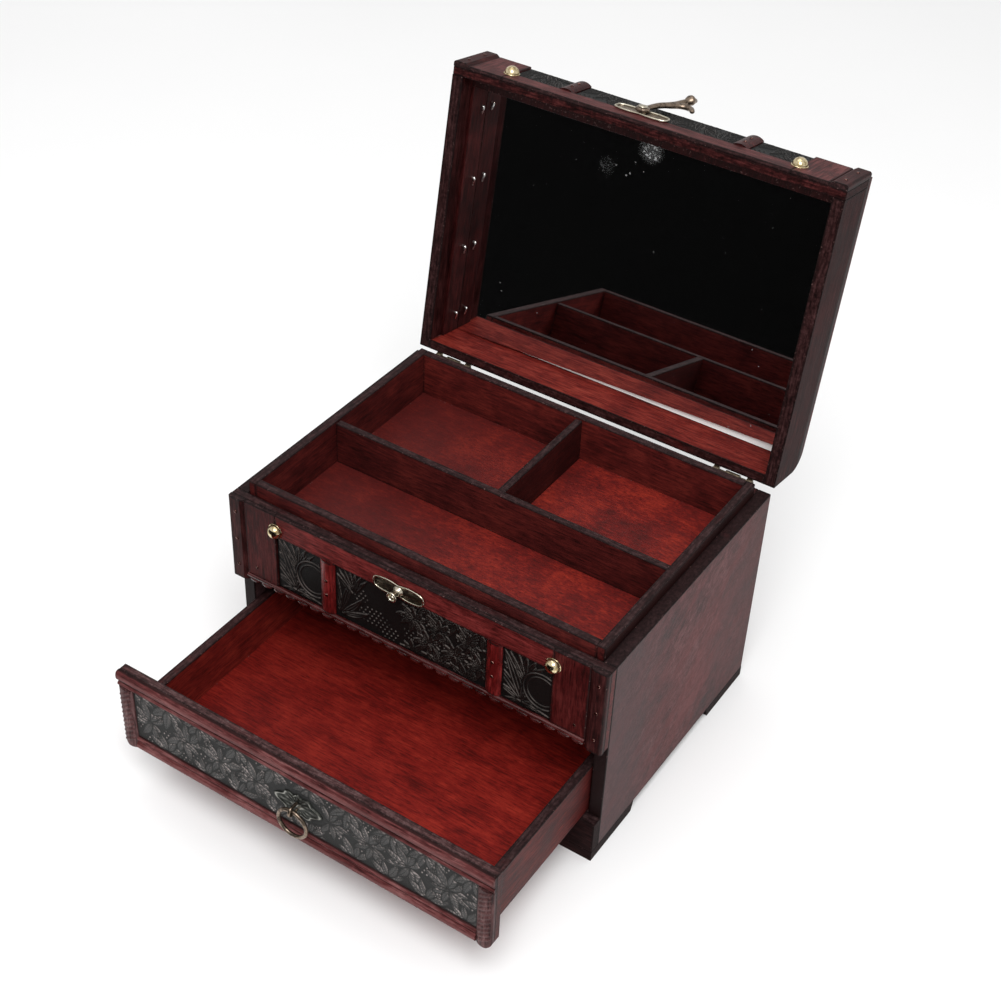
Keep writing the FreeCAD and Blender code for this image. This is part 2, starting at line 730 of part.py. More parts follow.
# The displayed pose: the lid turned back on its hinges, the drawer drawn out
lid_nodes = [name for name in parts if name.startswith("lid_")]
lid_nodes += ["mirror", "mirror_rails", "mirror_backing", "rail_brads", "latch_hook"]
for name in lid_nodes:
    parts[name].rotate(Vector(0, hinge_y, hinge_z), X_AXIS, -lid_open_angle)
drawer_nodes = [name for name in parts if name.startswith("drawer_")]
drawer_nodes += ["escutcheon", "ring_staple", "pull_ring"]
for name in drawer_nodes:
    parts[name].translate(Vector(0, -drawer_out, 0))

os.makedirs("parts", exist_ok=True)
for name, shape in parts.items():
    shape.exportStep(f"parts/{name}.step")
print(len(parts), "nodes")
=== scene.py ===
import math

import bmesh
import bpy
import numpy as np
from mathutils import Matrix, Vector


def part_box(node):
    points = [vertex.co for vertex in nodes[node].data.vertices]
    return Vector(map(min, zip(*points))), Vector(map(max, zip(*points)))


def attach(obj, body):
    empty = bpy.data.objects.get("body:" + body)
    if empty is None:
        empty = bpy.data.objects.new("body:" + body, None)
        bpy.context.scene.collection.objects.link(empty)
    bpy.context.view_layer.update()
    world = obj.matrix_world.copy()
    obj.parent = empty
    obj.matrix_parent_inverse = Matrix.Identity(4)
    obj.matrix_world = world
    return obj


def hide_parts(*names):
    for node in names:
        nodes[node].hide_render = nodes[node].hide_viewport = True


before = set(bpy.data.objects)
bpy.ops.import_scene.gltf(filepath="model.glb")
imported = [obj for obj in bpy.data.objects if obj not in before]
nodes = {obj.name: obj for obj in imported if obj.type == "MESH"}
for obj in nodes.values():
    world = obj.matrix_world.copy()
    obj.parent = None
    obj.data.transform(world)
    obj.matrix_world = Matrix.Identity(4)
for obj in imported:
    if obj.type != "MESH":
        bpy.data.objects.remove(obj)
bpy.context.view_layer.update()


# Side panels, back and bottom: thin boards of red-stained wood, glued and pinned into the open carcass.
# The stain has clouded to mauve; the side panels have a painted grey sheen towards the front, are browner and
# darker towards the rear and have painted shade on their front ends. Fine scratches cross the stain
# slantwise, and the arrises are rubbed dark with a few pale nicks.
def feed(node, inputs):
    """Sets a node's sockets, or links them where the value is another node's output."""
    for name, value in inputs.items():
        socket = node.inputs[name]
        if isinstance(value, bpy.types.NodeSocket):
            node.id_data.links.new(value, socket)
        else:
            socket.default_value = (*value, 1.0) if socket.type == "RGBA" else value


def put(kind, inputs=None, tree=None, **settings):
    """Adds a node to a tree, if none is given to that of its inputs, and gives back its outputs."""
    inputs = inputs or {}
    if not tree:
        tree = next(value.id_data for value in inputs.values() if isinstance(value, bpy.types.NodeSocket))
    made = tree.nodes.new(kind)
    for name, value in settings.items():
        setattr(made, name, value)
    feed(made, inputs)
    return made.outputs


def new_material(name):
    """An empty material. Gives back the material, its shader and the places on the object."""
    material = bpy.data.materials.new(name)
    material.use_nodes = True
    tree = material.node_tree
    return material, tree.nodes["Principled BSDF"], put("ShaderNodeTexCoord", tree=tree)["Object"]


def calc(operation, first, second=0.0):
    return put("ShaderNodeMath", {0: first, 1: second}, operation=operation)[0]


def vector_calc(operation, first, second):
    return put("ShaderNodeVectorMath", {0: first, 1: second}, operation=operation)


def weighed(*parts):
    """The sum of several values, each given with its weight."""
    *others, last = parts
    share = calc("MULTIPLY", *last)
    return calc("ADD", weighed(*others), share) if others else share


def apart(place):
    return put("ShaderNodeSeparateXYZ", {0: place})


def measure(x=0.0, y=0.0, z=0.0):
    return put("ShaderNodeCombineXYZ", {0: x, 1: y, 2: z})[0]


def fade(value, start, end, low=0.0, high=1.0):
    """A smooth step from low to high while value goes from start to end."""
    sizes = {"Value": value, "From Min": start, "From Max": end, "To Min": low, "To Max": high}
    return put("ShaderNodeMapRange", sizes, interpolation_type="SMOOTHSTEP")[0]


def tint(amount, under, over):
    """One colour over another, each a socket or a plain colour; 6, 7 and 2 are the colour sockets."""
    return put("ShaderNodeMix", {0: amount, 6: under, 7: over}, data_type="RGBA")[2]


def ramp(value, stops):
    """A run of colours, given as (position, colour) from low to high."""
    made = put("ShaderNodeValToRGB", {0: value})[0]
    band = made.node.color_ramp.elements
    band.remove(band[1])
    band[0].position = stops[0][0]
    band[0].color = (*stops[0][1], 1.0)
    for at, colour in stops[1:]:
        band.new(at).color = (*colour, 1.0)
    return made


def speckle(place, scale, detail=3.0, rough=0.55, twist=0.0):
    sizes = {"Vector": place, "Scale": scale, "Detail": detail, "Roughness": rough, "Distortion": twist}
    return put("ShaderNodeTexNoise", sizes)[0]


def stretched(place, turn, length):
    """Places drawn out along X, after three turns in degrees."""
    sizes = {"Vector": place, "Rotation": [math.radians(angle) for angle in turn], "Scale": (length, 1, 1)}
    return put("ShaderNodeMapping", sizes, vector_type="TEXTURE")[0]


def bump(height, strength, distance):
    sizes = {"Height": height, "Strength": strength, "Distance": distance}
    return put("ShaderNodeBump", sizes)[0]


hinge_axis = Vector((0.0, 0.0790, 0.12715))
lid_lean = math.radians(100.0)


def turn_about(point, angle, axis):
    return Matrix.Translation(point) @ Matrix.Rotation(angle, 4, axis) @ Matrix.Translation(-point)


lid_open = turn_about(hinge_axis, -lid_lean, "X")
lid_shut = lid_open.inverted()
grey_bare = ((0.008, 0.0039, 0.0040), (0.021, 0.0100, 0.0104), (0.058, 0.033, 0.033))


def stained_wood(name, box, tones, grain=(0, 0, 0), cloud=0.4, edge=0.85, gloss=0.5, haze=0.11, scratch=0.0,
                 stretch=10.0, paired=False, on_lid=False, scuffed=None, bare_tones=grey_bare, shades=(),
                 figure=1.0):
    """Varnished red wood: streaks and pores in a clouded stain, dark rubbed arrises, scuffed edge faces.

    The tones go from dark to light. Each shade is (axis, its start, where it is full, amount, colour).
    """
    band_colour, arris_colour, nick_colour = (0.118, 0.023, 0.023), (0.008, 0.004, 0.004), (0.15, 0.08, 0.075)
    arris_width, arris_wander = 0.0014, 0.0030
    material, shader, place = new_material(name)
    if on_lid:
        turn = {"Vector": place, "Center": hinge_axis, "Angle": lid_lean}
        place = put("ShaderNodeVectorRotate", turn, rotation_type="X_AXIS")[0]
    thread = stretched(place, grain, stretch)
    waves = speckle(stretched(place, grain, 0.6 * stretch), 260.0, 4.0, 0.6, 0.4)
    fibres = speckle(thread, 950.0, 5.0, 0.7)
    clouds = speckle(place, 42.0, 5.0, 0.65, 0.3)
    depth = weighed((waves, 0.30 * figure), (fibres, 0.60 * figure), (clouds, cloud))
    middle = 0.45 * figure + cloud / 2
    colour = ramp(depth, tuple(zip((middle - 0.14, middle - 0.01, middle + 0.15), tones)))
    pores = fade(speckle(thread, 1500.0, 3.0, 0.6), 0.53, 0.66, 0.0, 0.6)
    colour = tint(pores, colour, tuple(0.5 * part for part in tones[0]))
    if scratch:
        hairs = speckle(stretched(place, (0, -52, 90), 45), 1500.0, 2.0)
        colour = tint(fade(hairs, 0.60, 0.70, 0.0, scratch), colour, tones[2])
        bands = speckle(stretched(place, grain, 5), 85.0, 3.0, 0.6)
        colour = tint(fade(bands, 0.42, 0.66, 0.0, 0.45), colour, band_colour)

    beside = place
    if paired:
        x, y, z = apart(place)
        beside = measure(calc("ABSOLUTE", x), y, z)
    for axis, start, full, amount, shade in shades:
        colour = tint(fade(apart(beside)[axis], start, full, 0.0, amount), colour, shade)

    # The second smallest distance to the box's faces is the distance to its nearest arris
    from_low = vector_calc("SUBTRACT", beside, box[0])[0]
    from_high = vector_calc("SUBTRACT", box[1], beside)[0]
    x, y, z = apart(vector_calc("MINIMUM", from_low, from_high)[0])
    smaller, larger = calc("MINIMUM", x, y), calc("MAXIMUM", x, y)
    to_arris = calc("MAXIMUM", smaller, calc("MINIMUM", larger, z))
    ragged = speckle(place, 420.0, 5.0, 0.75)
    reach = weighed((to_arris, 1.0), (calc("SUBTRACT", ragged, 0.5), arris_wander))
    dull = weighed((clouds, 0.2))
    if scuffed:
        face, inward = (box[1].z, -1) if scuffed == "top" else (box[0].z, 1)
        bare = fade(apart(place)[2], face + inward * 0.0010, face + inward * 0.0003)
        marks = weighed((fibres, 0.55), (ragged, 0.45))
        scores = ramp(marks, tuple(zip((0.40, 0.50, 0.64), bare_tones)))
        cover = calc("MULTIPLY", bare, fade(clouds, 0.30, 0.48, 0.55, 0.95))
        colour = tint(cover, colour, scores)
        dull = weighed((clouds, 0.2), (bare, 0.10))
    colour = tint(fade(reach, arris_width, 0.0001, 0.0, edge), colour, arris_colour)
    chips = fade(speckle(place, 800.0), 0.62, 0.70, 0.0, 0.6)
    nicks = calc("MULTIPLY", fade(reach, 0.0009, 0.0003), chips)
    feed(shader, {"Base Color": tint(nicks, colour, nick_colour),
                  "Roughness": calc("ADD", dull, gloss - 0.10),
                  "Normal": bump(weighed((ragged, 0.4), (fibres, 0.6)), 0.45, 0.0004),
                  "Specular IOR Level": haze})
    return material


def node_box(name, paired=False, on_lid=False):
    """A node's box: with the lid shut for what is on it, and of the right-hand one of two like solids."""
    places = [lid_shut @ corner.co if on_lid else corner.co for corner in nodes[name].data.vertices]
    if on_lid:
        low = Vector([min(at[axis] for at in places) for axis in range(3)])
        high = Vector([max(at[axis] for at in places) for axis in range(3)])
    else:
        low, high = (Vector(corner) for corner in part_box(name))
    if paired:
        low.x = min(abs(at.x) for at in places)
    return low, high


def finish_node(name, material):
    for held in nodes[name].material_slots:
        held.material = material


def wood_node(name, tones, paired=False, on_lid=False, **looks):
    """Gives a CAD node a stained wood of its own."""
    box = node_box(name, paired, on_lid)
    finish_node(name, stained_wood(name + "_wood", box, tones, paired=paired, on_lid=on_lid, **looks))


# A near-black for painted shade, on faces and grooves where shadow falls.
painted_shade_colour = (0.0070, 0.0030, 0.0030)
panel_tones = ((0.022, 0.0052, 0.0054), (0.066, 0.0165, 0.0170), (0.140, 0.056, 0.056))
panel_bare = ((0.005, 0.0023, 0.0023), (0.012, 0.0052, 0.0054), (0.026, 0.0130, 0.0130))
painted_sheen_grey, rear_brown = (0.058, 0.040, 0.042), (0.044, 0.0125, 0.0120)
for name in ("left_side_panel", "right_side_panel"):
    front, rear = (corner.y for corner in node_box(name))
    # The shades: a painted grey sheen towards the front, a darker brown towards the rear, painted shade on
    # the front end.
    wood_node(name, panel_tones, grain=(0, -30, 90), cloud=0.55, haze=0.108, scratch=0.4, stretch=2.5,
              scuffed="top", bare_tones=panel_bare,
              shades=((1, front + 0.070, front + 0.012, 0.50, painted_sheen_grey),
                      (1, rear - 0.050, rear - 0.005, 0.40, rear_brown),
                      (1, front + 0.0010, front + 0.0003, 0.9, painted_shade_colour)))
for name in ("back_board", "bottom_board", "bay_ceiling_board"):
    wood_node(name, panel_tones, cloud=0.6, haze=0.17)


# Base strip and corner feet: a plain strip under the drawer and four thin blocks glued under the corners.
# They are stained darker than the rest, and their edges are scuffed.
plinth_tones = ((0.004, 0.0013, 0.0013), (0.0105, 0.0030, 0.0030), (0.026, 0.0090, 0.0088))
wood_node("base_strip", plinth_tones, haze=0.03, scuffed="top")
wood_node("corner_feet", plinth_tones, paired=True, edge=0.4, haze=0.03)


# Front board, posts, flats and top rail: flat strips of the same red wood glued on the board as a frame.
# The strips are rounded over, rubbed dark along every edge, and greyer where hands open the box.
strip_tones = ((0.022, 0.0026, 0.0026), (0.078, 0.0090, 0.0086), (0.150, 0.026, 0.023))
top_rail_tones = ((0.024, 0.0026, 0.0026), (0.092, 0.0094, 0.0090), (0.190, 0.026, 0.024))
flat_tones = ((0.016, 0.0016, 0.0016), (0.046, 0.0040, 0.0040), (0.090, 0.013, 0.012))
post_tones = ((0.008, 0.0020, 0.0020), (0.028, 0.0050, 0.0050), (0.070, 0.019, 0.018))
upright = (0, 90, 0)
wood_node("front_board", strip_tones, scuffed="top")
wood_node("front_rail", top_rail_tones, cloud=0.55, scuffed="top")
wood_node("front_flats", flat_tones, paired=True, grain=upright, cloud=0.45, scuffed="top")
wood_node("front_posts", post_tones, paired=True, grain=upright, scuffed="top")


# Straps: two narrow bowed strips over the leather, painted a deeper red and nailed at each end.
# Their crowns are polished by hands and their edges have worn through to dark wood.
strap_tones = ((0.022, 0.0013, 0.0013), (0.090, 0.0050, 0.0050), (0.220, 0.022, 0.021))
wood_node("front_straps", strap_tones, paired=True, grain=upright, gloss=0.30, haze=0.40)


# Front leather: three panels of black-green tooled leather glued on the front board between the strips.
# Plain foliage is pressed into the middle one, rings and blades into the small ones;
# the raised lines are rubbed lighter, with a painted highlight on their upper slopes and a painted shade on
# their lower ones.
def ridge(distance, half):
    return np.exp(-((distance / half) ** 2))


def press_leaf(pressed, u, v, foot, angle, length, half, bend=0.0, veined=True, domed=False):
    """Presses a leaf over what is there: a low blade with raised lines, or a domed one with sunk veins."""
    near = np.ix_(np.abs(u[:, 0] - foot[0]) < 1.15 * length, np.abs(v[0] - foot[1]) < 1.15 * length)
    turn = math.radians(angle)
    over, rise = u[near] - foot[0], v[near] - foot[1]
    along = (over * math.cos(turn) + rise * math.sin(turn)) / length
    across = rise * math.cos(turn) - over * math.sin(turn) - bend * length * along * (1.0 - along)
    margin = half * np.sin(np.pi * np.clip(along, 0.0, 1.0) ** 0.8) ** 0.9
    inward = margin - np.abs(across)
    within = (along > 0.0) & (along < 1.0)
    line, pitch = 0.28, max(1.3, length / 7.0)
    rib = ridge(across, line)
    veins = ridge((along * length - 1.1 * np.abs(across)) % pitch - pitch / 2.0, line) if veined else 0.0
    if domed:
        dome = np.clip(inward / (0.55 * half), 0.0, 1.0) ** 0.6
        blade = dome * (1.0 - 0.55 * rib) * (1.0 - 0.45 * veins)
    else:
        outline = ridge(inward - 0.30, 0.32)
        blade = 0.12 + 0.88 * np.maximum(np.maximum(outline, 0.9 * rib), 0.8 * veins)
    beside = np.where(within, np.clip(-inward / 0.7, 0.15, 1.0), 1.0)
    pressed[near] = np.where(within & (inward > 0.0), blade, pressed[near] * beside)


def press_blades(pressed, u, v, foot, height, blades):
    """Presses plain blades from one foot, each (angle, length, half width, bend) in shares of the height."""
    for angle, length, half, bend in blades:
        press_leaf(pressed, u, v, foot, angle, length * height, half * height, bend, veined=False)


def press_flower(pressed, u, v, middle, radius, petals=6):
    """Presses a small flower: outlined petals around a raised button."""
    across = np.hypot(u - middle[0], v - middle[1])
    bearing = np.arctan2(v - middle[1], u - middle[0])
    rim = radius * (0.80 + 0.20 * np.cos(petals * bearing))
    spokes = ridge(np.sin(petals * (bearing + math.pi / petals) / 2.0), 0.25)
    outline, button = ridge(rim - across - 0.25, 0.28), ridge(across, radius * 0.28)
    lines = np.maximum(np.maximum(outline, 0.6 * spokes), button)
    beside = pressed * np.clip((across - rim) / 0.6, 0.2, 1.0)
    pressed[:] = np.where(across < rim, 0.15 + 0.85 * lines, beside)


def pearls(u, v, cell=2.6):
    """A ground of small raised dots in staggered rows."""
    row_height = cell * 0.87
    row = np.floor(v / row_height)
    du = (u / cell + 0.5 * (row % 2)) % 1.0 - 0.5
    dv = (v / row_height) % 1.0 - 0.5
    return np.clip(1.0 - (du ** 2 + dv ** 2) / 0.06, 0.0, 1.0)


def foliage(rows, seed, domed=False, start=0.0):
    """A design of leaf sprays in rows, over pearls, with a few flowers, from a share of the width on."""
    def design(u, v, width, height):
        chance = np.random.default_rng(seed)
        band = height / rows
        spacing = 0.72 * band
        dotted = (np.sin(u * 0.31 + seed) * np.sin(v * 0.37 + 0.8) > 0.1) & (u >= start * width)
        pressed = np.where(dotted, 0.85 * pearls(u, v), 0.0)
        for row in range(rows):
            for index in range(int(width / spacing) + 2):
                upward = (index + row) % 2 == 0
                foot_u = (index - 0.3 + 0.4 * chance.random()) * spacing
                foot_v = band * (row + (0.05 if upward else 0.95))
                aim = (90.0 if upward else -90.0) + chance.uniform(-35.0, 35.0)
                if foot_u < start * width:
                    continue
                for spread in (-78, 78, -42, 42, 0):
                    length = band * chance.uniform(0.62, 0.95)
                    half = length * chance.uniform(0.15, 0.20)
                    bend = 0.25 * math.copysign(1.0, spread) if spread else 0.1
                    press_leaf(pressed, u, v, (foot_u, foot_v), aim + spread, length, half, bend, domed=domed)
                if index % 3 == 1:
                    press_flower(pressed, u, v, (foot_u + 0.5 * spacing, band * (row + 0.5)), 0.17 * band)
        return pressed
    return design


def pearls_and_foliage(u, v, width, height):
    """The middle panel: pearls and long blades on plain ground at the left, close foliage at the right."""
    clumps = np.zeros(u.shape, dtype=bool)
    for at_u, at_v, radius, longer in ((0.26, 0.30, 0.19, 1.4), (0.36, 0.16, 0.15, 1.3),
                                       (0.17, 0.62, 0.14, 1.0)):
        clumps |= np.hypot((u - at_u * width) / longer, v - at_v * height) < radius * height
    pressed = np.maximum(0.95 * pearls(u, v) * clumps, foliage(3, 3, start=0.46)(u, v, width, height))
    press_blades(pressed, u, v, (0.04 * width, 0.10 * height), height,
                 ((118, 0.62, 0.05, 0.1), (96, 0.80, 0.05, 0.1), (74, 0.82, 0.05, 0.1),
                  (50, 0.60, 0.05, -0.2), (24, 0.56, 0.05, -0.3)))
    press_blades(pressed, u, v, (0.12 * width, 0.58 * height), height,
                 [(angle, 0.44, 0.035, 0.1) for angle in range(55, 140, 14)])
    return pressed


def rings_and_blades(u, v, width, height):
    """A small panel: curved blades from its lower edge, a plain double ring and a few pearls and strokes."""
    pressed = 0.8 * pearls(u, v) * (np.hypot(u - 0.40 * width, v - 0.72 * height) < 0.17 * height)
    press_blades(pressed, u, v, (0.45 * width, 0.52 * height), height,
                 [(angle, 0.52, 0.045, 0.12) for angle in range(35, 160, 17)])
    press_blades(pressed, u, v, (0.42 * width, 0.10 * height), height,
                 ((160, 0.50, 0.05, -0.1), (135, 0.85, 0.07, -0.2), (112, 0.98, 0.075, -0.15),
                  (75, 0.80, 0.07, 0.2), (20, 0.75, 0.06, -0.25), (-8, 0.60, 0.05, -0.2),
                  (196, 0.42, 0.05, 0.2)))
    away = np.hypot((u - 0.80 * width) * 1.05, v - 0.46 * height)
    rings = np.maximum(ridge(away - 0.33 * height, 0.34), 0.8 * ridge(away - 0.26 * height, 0.30))
    return np.where(away < 0.36 * height, rings, pressed)


def new_mesh(name, corners, faces):
    mesh = bpy.data.meshes.new(name)
    mesh.from_pydata(corners, [], faces)
    return mesh


def new_piece(name, mesh):
    piece = bpy.data.objects.new(name, mesh)
    bpy.context.scene.collection.objects.link(piece)
    return piece


def tooled_sheet(name, panels, step=0.00033, lift=0.0006, bare=None):
    """A closed mesh of panels, each (corner, u axis, v axis, out axis, width, height, thickness, design)."""
    plain_border, border_fade = 0.5, 0.9
    corners, faces, heights, slopes = [], [], [], []
    count = 0
    for corner, u_axis, v_axis, out, width, height, thickness, design in panels:
        u_line = np.linspace(0, width, max(8, round(width / step)) + 1)
        v_line = np.linspace(0, height, max(8, round(height / step)) + 1)
        u, v = np.meshgrid(u_line, v_line, indexing="ij")
        pressed = design(u * 1000, v * 1000, width * 1000, height * 1000)
        if bare:
            pressed = pressed * bare(u, v)
        border = np.minimum(np.minimum(u, width - u), np.minimum(v, height - v)) * 1000
        pressed = pressed * np.clip((border - plain_border) / border_fade, 0.0, 1.0)
        # Each point keeps how far its slope faces up, for a painted highlight there and a painted shade on
        # slopes that face down.
        slope_u, slope_v = np.gradient(pressed)
        upper = np.clip(0.5 - 0.9 * slope_v - 0.45 * slope_u, 0.0, 1.0)
        flat = np.array(corner) + u[..., None] * np.array(u_axis) + v[..., None] * np.array(v_axis)
        face = flat + np.array(out) * (thickness + lift * pressed)[..., None]
        number = np.arange(u.size).reshape(u.shape) + count
        quads = np.stack([number[:-1, :-1], number[1:, :-1], number[1:, 1:], number[:-1, 1:]], axis=-1)
        quads = quads.reshape(-1, 4)
        rim = np.concatenate([number[:, 0], number[-1, 1:], number[-2::-1, -1], number[0, -2:0:-1]])
        under = np.arange(len(rim)) + count + number.size
        wall = np.stack([rim, under, np.roll(under, -1), np.roll(rim, -1)], axis=-1)
        if np.dot(np.cross(u_axis, v_axis), out) < 0:
            quads, wall = quads[:, ::-1], wall[:, ::-1]
        else:
            under = under[::-1]
        corners += [face.reshape(-1, 3), flat.reshape(-1, 3)[rim - count]]
        heights += [pressed.reshape(-1), np.zeros(len(rim))]
        slopes += [upper.reshape(-1), np.full(len(rim), 0.5)]
        faces += quads.tolist() + wall.tolist() + [under.tolist()]
        count += number.size + len(rim)
    mesh = new_mesh(name, np.concatenate(corners).tolist(), faces)
    for label, values in (("pressed", heights), ("upper", slopes)):
        held = mesh.attributes.new(label, "FLOAT", "POINT")
        held.data.foreach_set("value", np.concatenate(values).astype(np.float32))
    mesh.shade_smooth()
    return new_piece(name, mesh)


def stored(place, label):
    """A value that the mesh holds at each of its points."""
    return put("ShaderNodeAttribute", tree=place.id_data, attribute_name=label)["Fac"]


def tooled_leather(name, ground, blade, painted_highlight, shine):
    """Dyed leather, lighter on the raised work, with a painted highlight on its upper slopes and a painted
    shade on its lower ones.
    """
    material, shader, place = new_material(name)
    raised, upper = stored(place, "pressed"), stored(place, "upper")
    patches = speckle(place, 110.0, 4.0, 0.65)
    grain = speckle(place, 1700.0, 4.0, 0.6)
    worn = weighed((raised, 1.0), (calc("SUBTRACT", patches, 0.5), 0.8))
    colour = ramp(worn, ((0.10, ground), (0.80, blade)))
    # Painted highlight on the upper slopes, in patches, and painted shade on the lower slopes.
    lit = calc("MULTIPLY", fade(upper, 0.56, 0.92), fade(patches, 0.32, 0.58, 0.25, 1.0))
    colour = tint(lit, colour, painted_highlight)
    lower_slope_shade = fade(upper, 0.44, 0.15, 0.0, 0.7)
    smooth = fade(worn, 0.1, 0.9, shine + 0.12, shine - 0.10)
    feed(shader, {"Base Color": tint(lower_slope_shade, colour, tuple(0.4 * part for part in ground)),
                  "Roughness": weighed((grain, 0.25), (smooth, 1.0)),
                  "Normal": bump(grain, 0.4, 0.0003), "Specular IOR Level": 0.3})
    return material


def front_panel(low, high, left, right, design):
    """A panel that faces the front, in a box and between two sides."""
    return ((left, high.y, low.z), (1, 0, 0), (0, 0, 1), (0, -1, 0),
            right - left, high.z - low.z, high.y - low.y, design)


def between_straps(low, high):
    """The left and right sides of the three panels that the straps leave."""
    strap_inner, strap_outer = 0.0447, 0.0533
    return (low.x, -strap_outer), (-strap_inner, strap_inner), (strap_outer, high.x)


box_leather = tooled_leather("box_leather", ground=(0.0022, 0.0024, 0.0022), blade=(0.0076, 0.0062, 0.0056),
                             painted_highlight=(0.105, 0.086, 0.078), shine=0.34)
low, high = node_box("front_leather")
designs = (rings_and_blades, pearls_and_foliage, rings_and_blades)
front_leather = tooled_sheet("tooled_front_leather", [
    front_panel(low, high, *sides, design) for sides, design in zip(between_straps(low, high), designs)])
front_leather.data.materials.append(box_leather)
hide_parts("front_leather")
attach(front_leather, "carcass")


# Scalloped moulding: a thin strip under the leather, its lower edge cut into a row of small scallops
# with a round bead above them. It is glued on, and the raised parts are rubbed to a pinkish shine.
real, whole, vector = "NodeSocketFloat", "NodeSocketInt", "NodeSocketVector"


def new_tree(name, sizes):
    """A geometry tree with named sizes. Gives back the tree and the sockets of its inputs."""
    tree = bpy.data.node_groups.new(name, "GeometryNodeTree")
    tree.interface.new_socket("Geometry", in_out="INPUT", socket_type="NodeSocketGeometry")
    for label, kind in sizes.items():
        tree.interface.new_socket(label, in_out="INPUT", socket_type=kind)
    tree.interface.new_socket("Geometry", in_out="OUTPUT", socket_type="NodeSocketGeometry")
    return tree, put("NodeGroupInput", tree=tree)


def ball(tree, segments, rings):
    return put("GeometryNodeMeshUVSphere", {"Segments": segments, "Rings": rings, "Radius": 1.0}, tree)[0]


def moved(shape, **how):
    return put("GeometryNodeTransform", {"Geometry": shape, **how})[0]


def at_points(points, shape, **how):
    return put("GeometryNodeInstanceOnPoints", {"Points": points, "Instance": shape, **how})[0]


def together(*shapes):
    joined = shapes[0].id_data.nodes.new("GeometryNodeJoinGeometry")
    for shape in shapes:
        feed(joined, {0: shape})
    return joined.outputs[0]


def close_tree(shape, material):
    """Ends a tree with a shape, made real, smooth and of one material."""
    made = put("GeometryNodeRealizeInstances", {0: shape})[0]
    smooth = put("GeometryNodeSetShadeSmooth", {0: made})[0]
    finished = put("GeometryNodeSetMaterial", {"Geometry": smooth, "Material": material})[0]
    put("NodeGroupOutput", {0: finished})


def made_by(tree, name, values, points=()):
    """Runs a tree once on some points and keeps what it makes as a plain mesh."""
    piece = new_piece(name, new_mesh(name + "_start", [tuple(point) for point in points], []))
    layout = piece.modifiers.new("layout", "NODES")
    layout.node_group = tree
    for item in tree.interface.items_tree:
        if item.in_out == "INPUT" and item.name in values:
            layout[item.identifier] = values[item.name]
    made = bpy.data.meshes.new_from_object(piece.evaluated_get(bpy.context.evaluated_depsgraph_get()))
    piece.modifiers.remove(layout)
    piece.data = made
    return piece


moulding_tones = ((0.010, 0.0014, 0.0014), (0.044, 0.0060, 0.0058), (0.120, 0.032, 0.031))
low, high = node_box("scalloped_moulding")
moulding_wood = stained_wood("moulding_wood", (low, high), moulding_tones, edge=0.0, gloss=0.24, haze=0.6)
tree, given = new_tree("scallop_row", {
    "Count": whole, "First": vector, "Pitch": vector, "Scallop": vector, "Bead": real,
    "Bead start": vector, "Bead end": vector, "Strip": vector, "Strip middle": vector})
line = {"Count": given["Count"], "Start Location": given["First"], "Offset": given["Pitch"]}
row = put("GeometryNodeMeshLine", line, mode="OFFSET")[0]
row = at_points(row, ball(tree, 14, 8), Scale=given["Scallop"])
line = {"Start": given["Bead start"], "End": given["Bead end"]}
line = put("GeometryNodeCurvePrimitiveLine", line)[0]
circle = put("GeometryNodeCurvePrimitiveCircle", {"Resolution": 16, "Radius": given["Bead"]})[0]
bead = put("GeometryNodeCurveToMesh", {"Curve": line, "Profile Curve": circle, "Fill Caps": True})[0]
strip = put("GeometryNodeMeshCube", {"Size": given["Strip"]})[0]
close_tree(together(row, bead, moved(strip, Translation=given["Strip middle"])), moulding_wood)
count = 26
pitch = (high.x - low.x) / count
bead_radius, bead_lift, scallop_lift = 0.0011, 0.0019, 0.0012
strip_depth, strip_cut, strip_raise = 0.0016, 0.0022, 0.0007
scallop_half = (pitch * 0.44, 0.0016, 0.0014)
scalloped = made_by(tree, "scalloped_strip", {
    "Count": count, "First": (low.x + pitch / 2, high.y - scallop_lift, low.z + scallop_half[2]),
    "Pitch": (pitch, 0, 0), "Scallop": scallop_half, "Bead": bead_radius,
    "Bead start": (low.x, high.y - bead_lift, high.z - bead_radius),
    "Bead end": (high.x, high.y - bead_lift, high.z - bead_radius),
    "Strip": (high.x - low.x, strip_depth, high.z - low.z - strip_cut),
    "Strip middle": (0, high.y - strip_depth / 2, (high.z + low.z) / 2 + strip_raise)})
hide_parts("scalloped_moulding")
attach(scalloped, "carcass")


# Tray: thin red boards jointed into a shallow box with a long and a short divider, let into the carcass.
# Its floor is brighter and blotched with stain, with a painted shade towards its left side, and the top edges
# of all its boards are scuffed grey. The short divider's right face and the side walls' outer faces have
# painted shade.
wall_tones = ((0.018, 0.0042, 0.0042), (0.060, 0.0086, 0.0080), (0.130, 0.019, 0.015))
back_wall_tones = ((0.024, 0.0046, 0.0044), (0.084, 0.0104, 0.0092), (0.170, 0.023, 0.017))
front_to_back = (0, 0, 90)
board_looks = {"edge": 0.7, "scuffed": "top", "figure": 0.75}
for name, tones in (("tray_back_wall", back_wall_tones), ("tray_front_wall", wall_tones),
                    ("tray_long_divider", wall_tones)):
    wood_node(name, tones, **board_looks)
# The short divider's right face and the side walls' outer faces get a painted shade.
for name, paired, shaded, amount in (("tray_short_divider", False, 0.0030, 0.55),
                                     ("tray_side_walls", True, 0.0010, 0.85)):
    right = node_box(name)[1].x
    wood_node(name, wall_tones, paired, grain=front_to_back, **board_looks,
              shades=((0, right - shaded, right - 0.0002, amount, painted_shade_colour),))
floor_tones = ((0.060, 0.0085, 0.0078), (0.132, 0.0105, 0.0088), (0.290, 0.026, 0.0140))
# The floor gets a painted shade that deepens towards its left side.
wood_node("tray_floor", floor_tones, cloud=0.50, edge=0.0, haze=0.15, stretch=3.5, figure=0.75,
          shades=((0, 0.04, -0.09, 0.75, floor_tones[0]),))


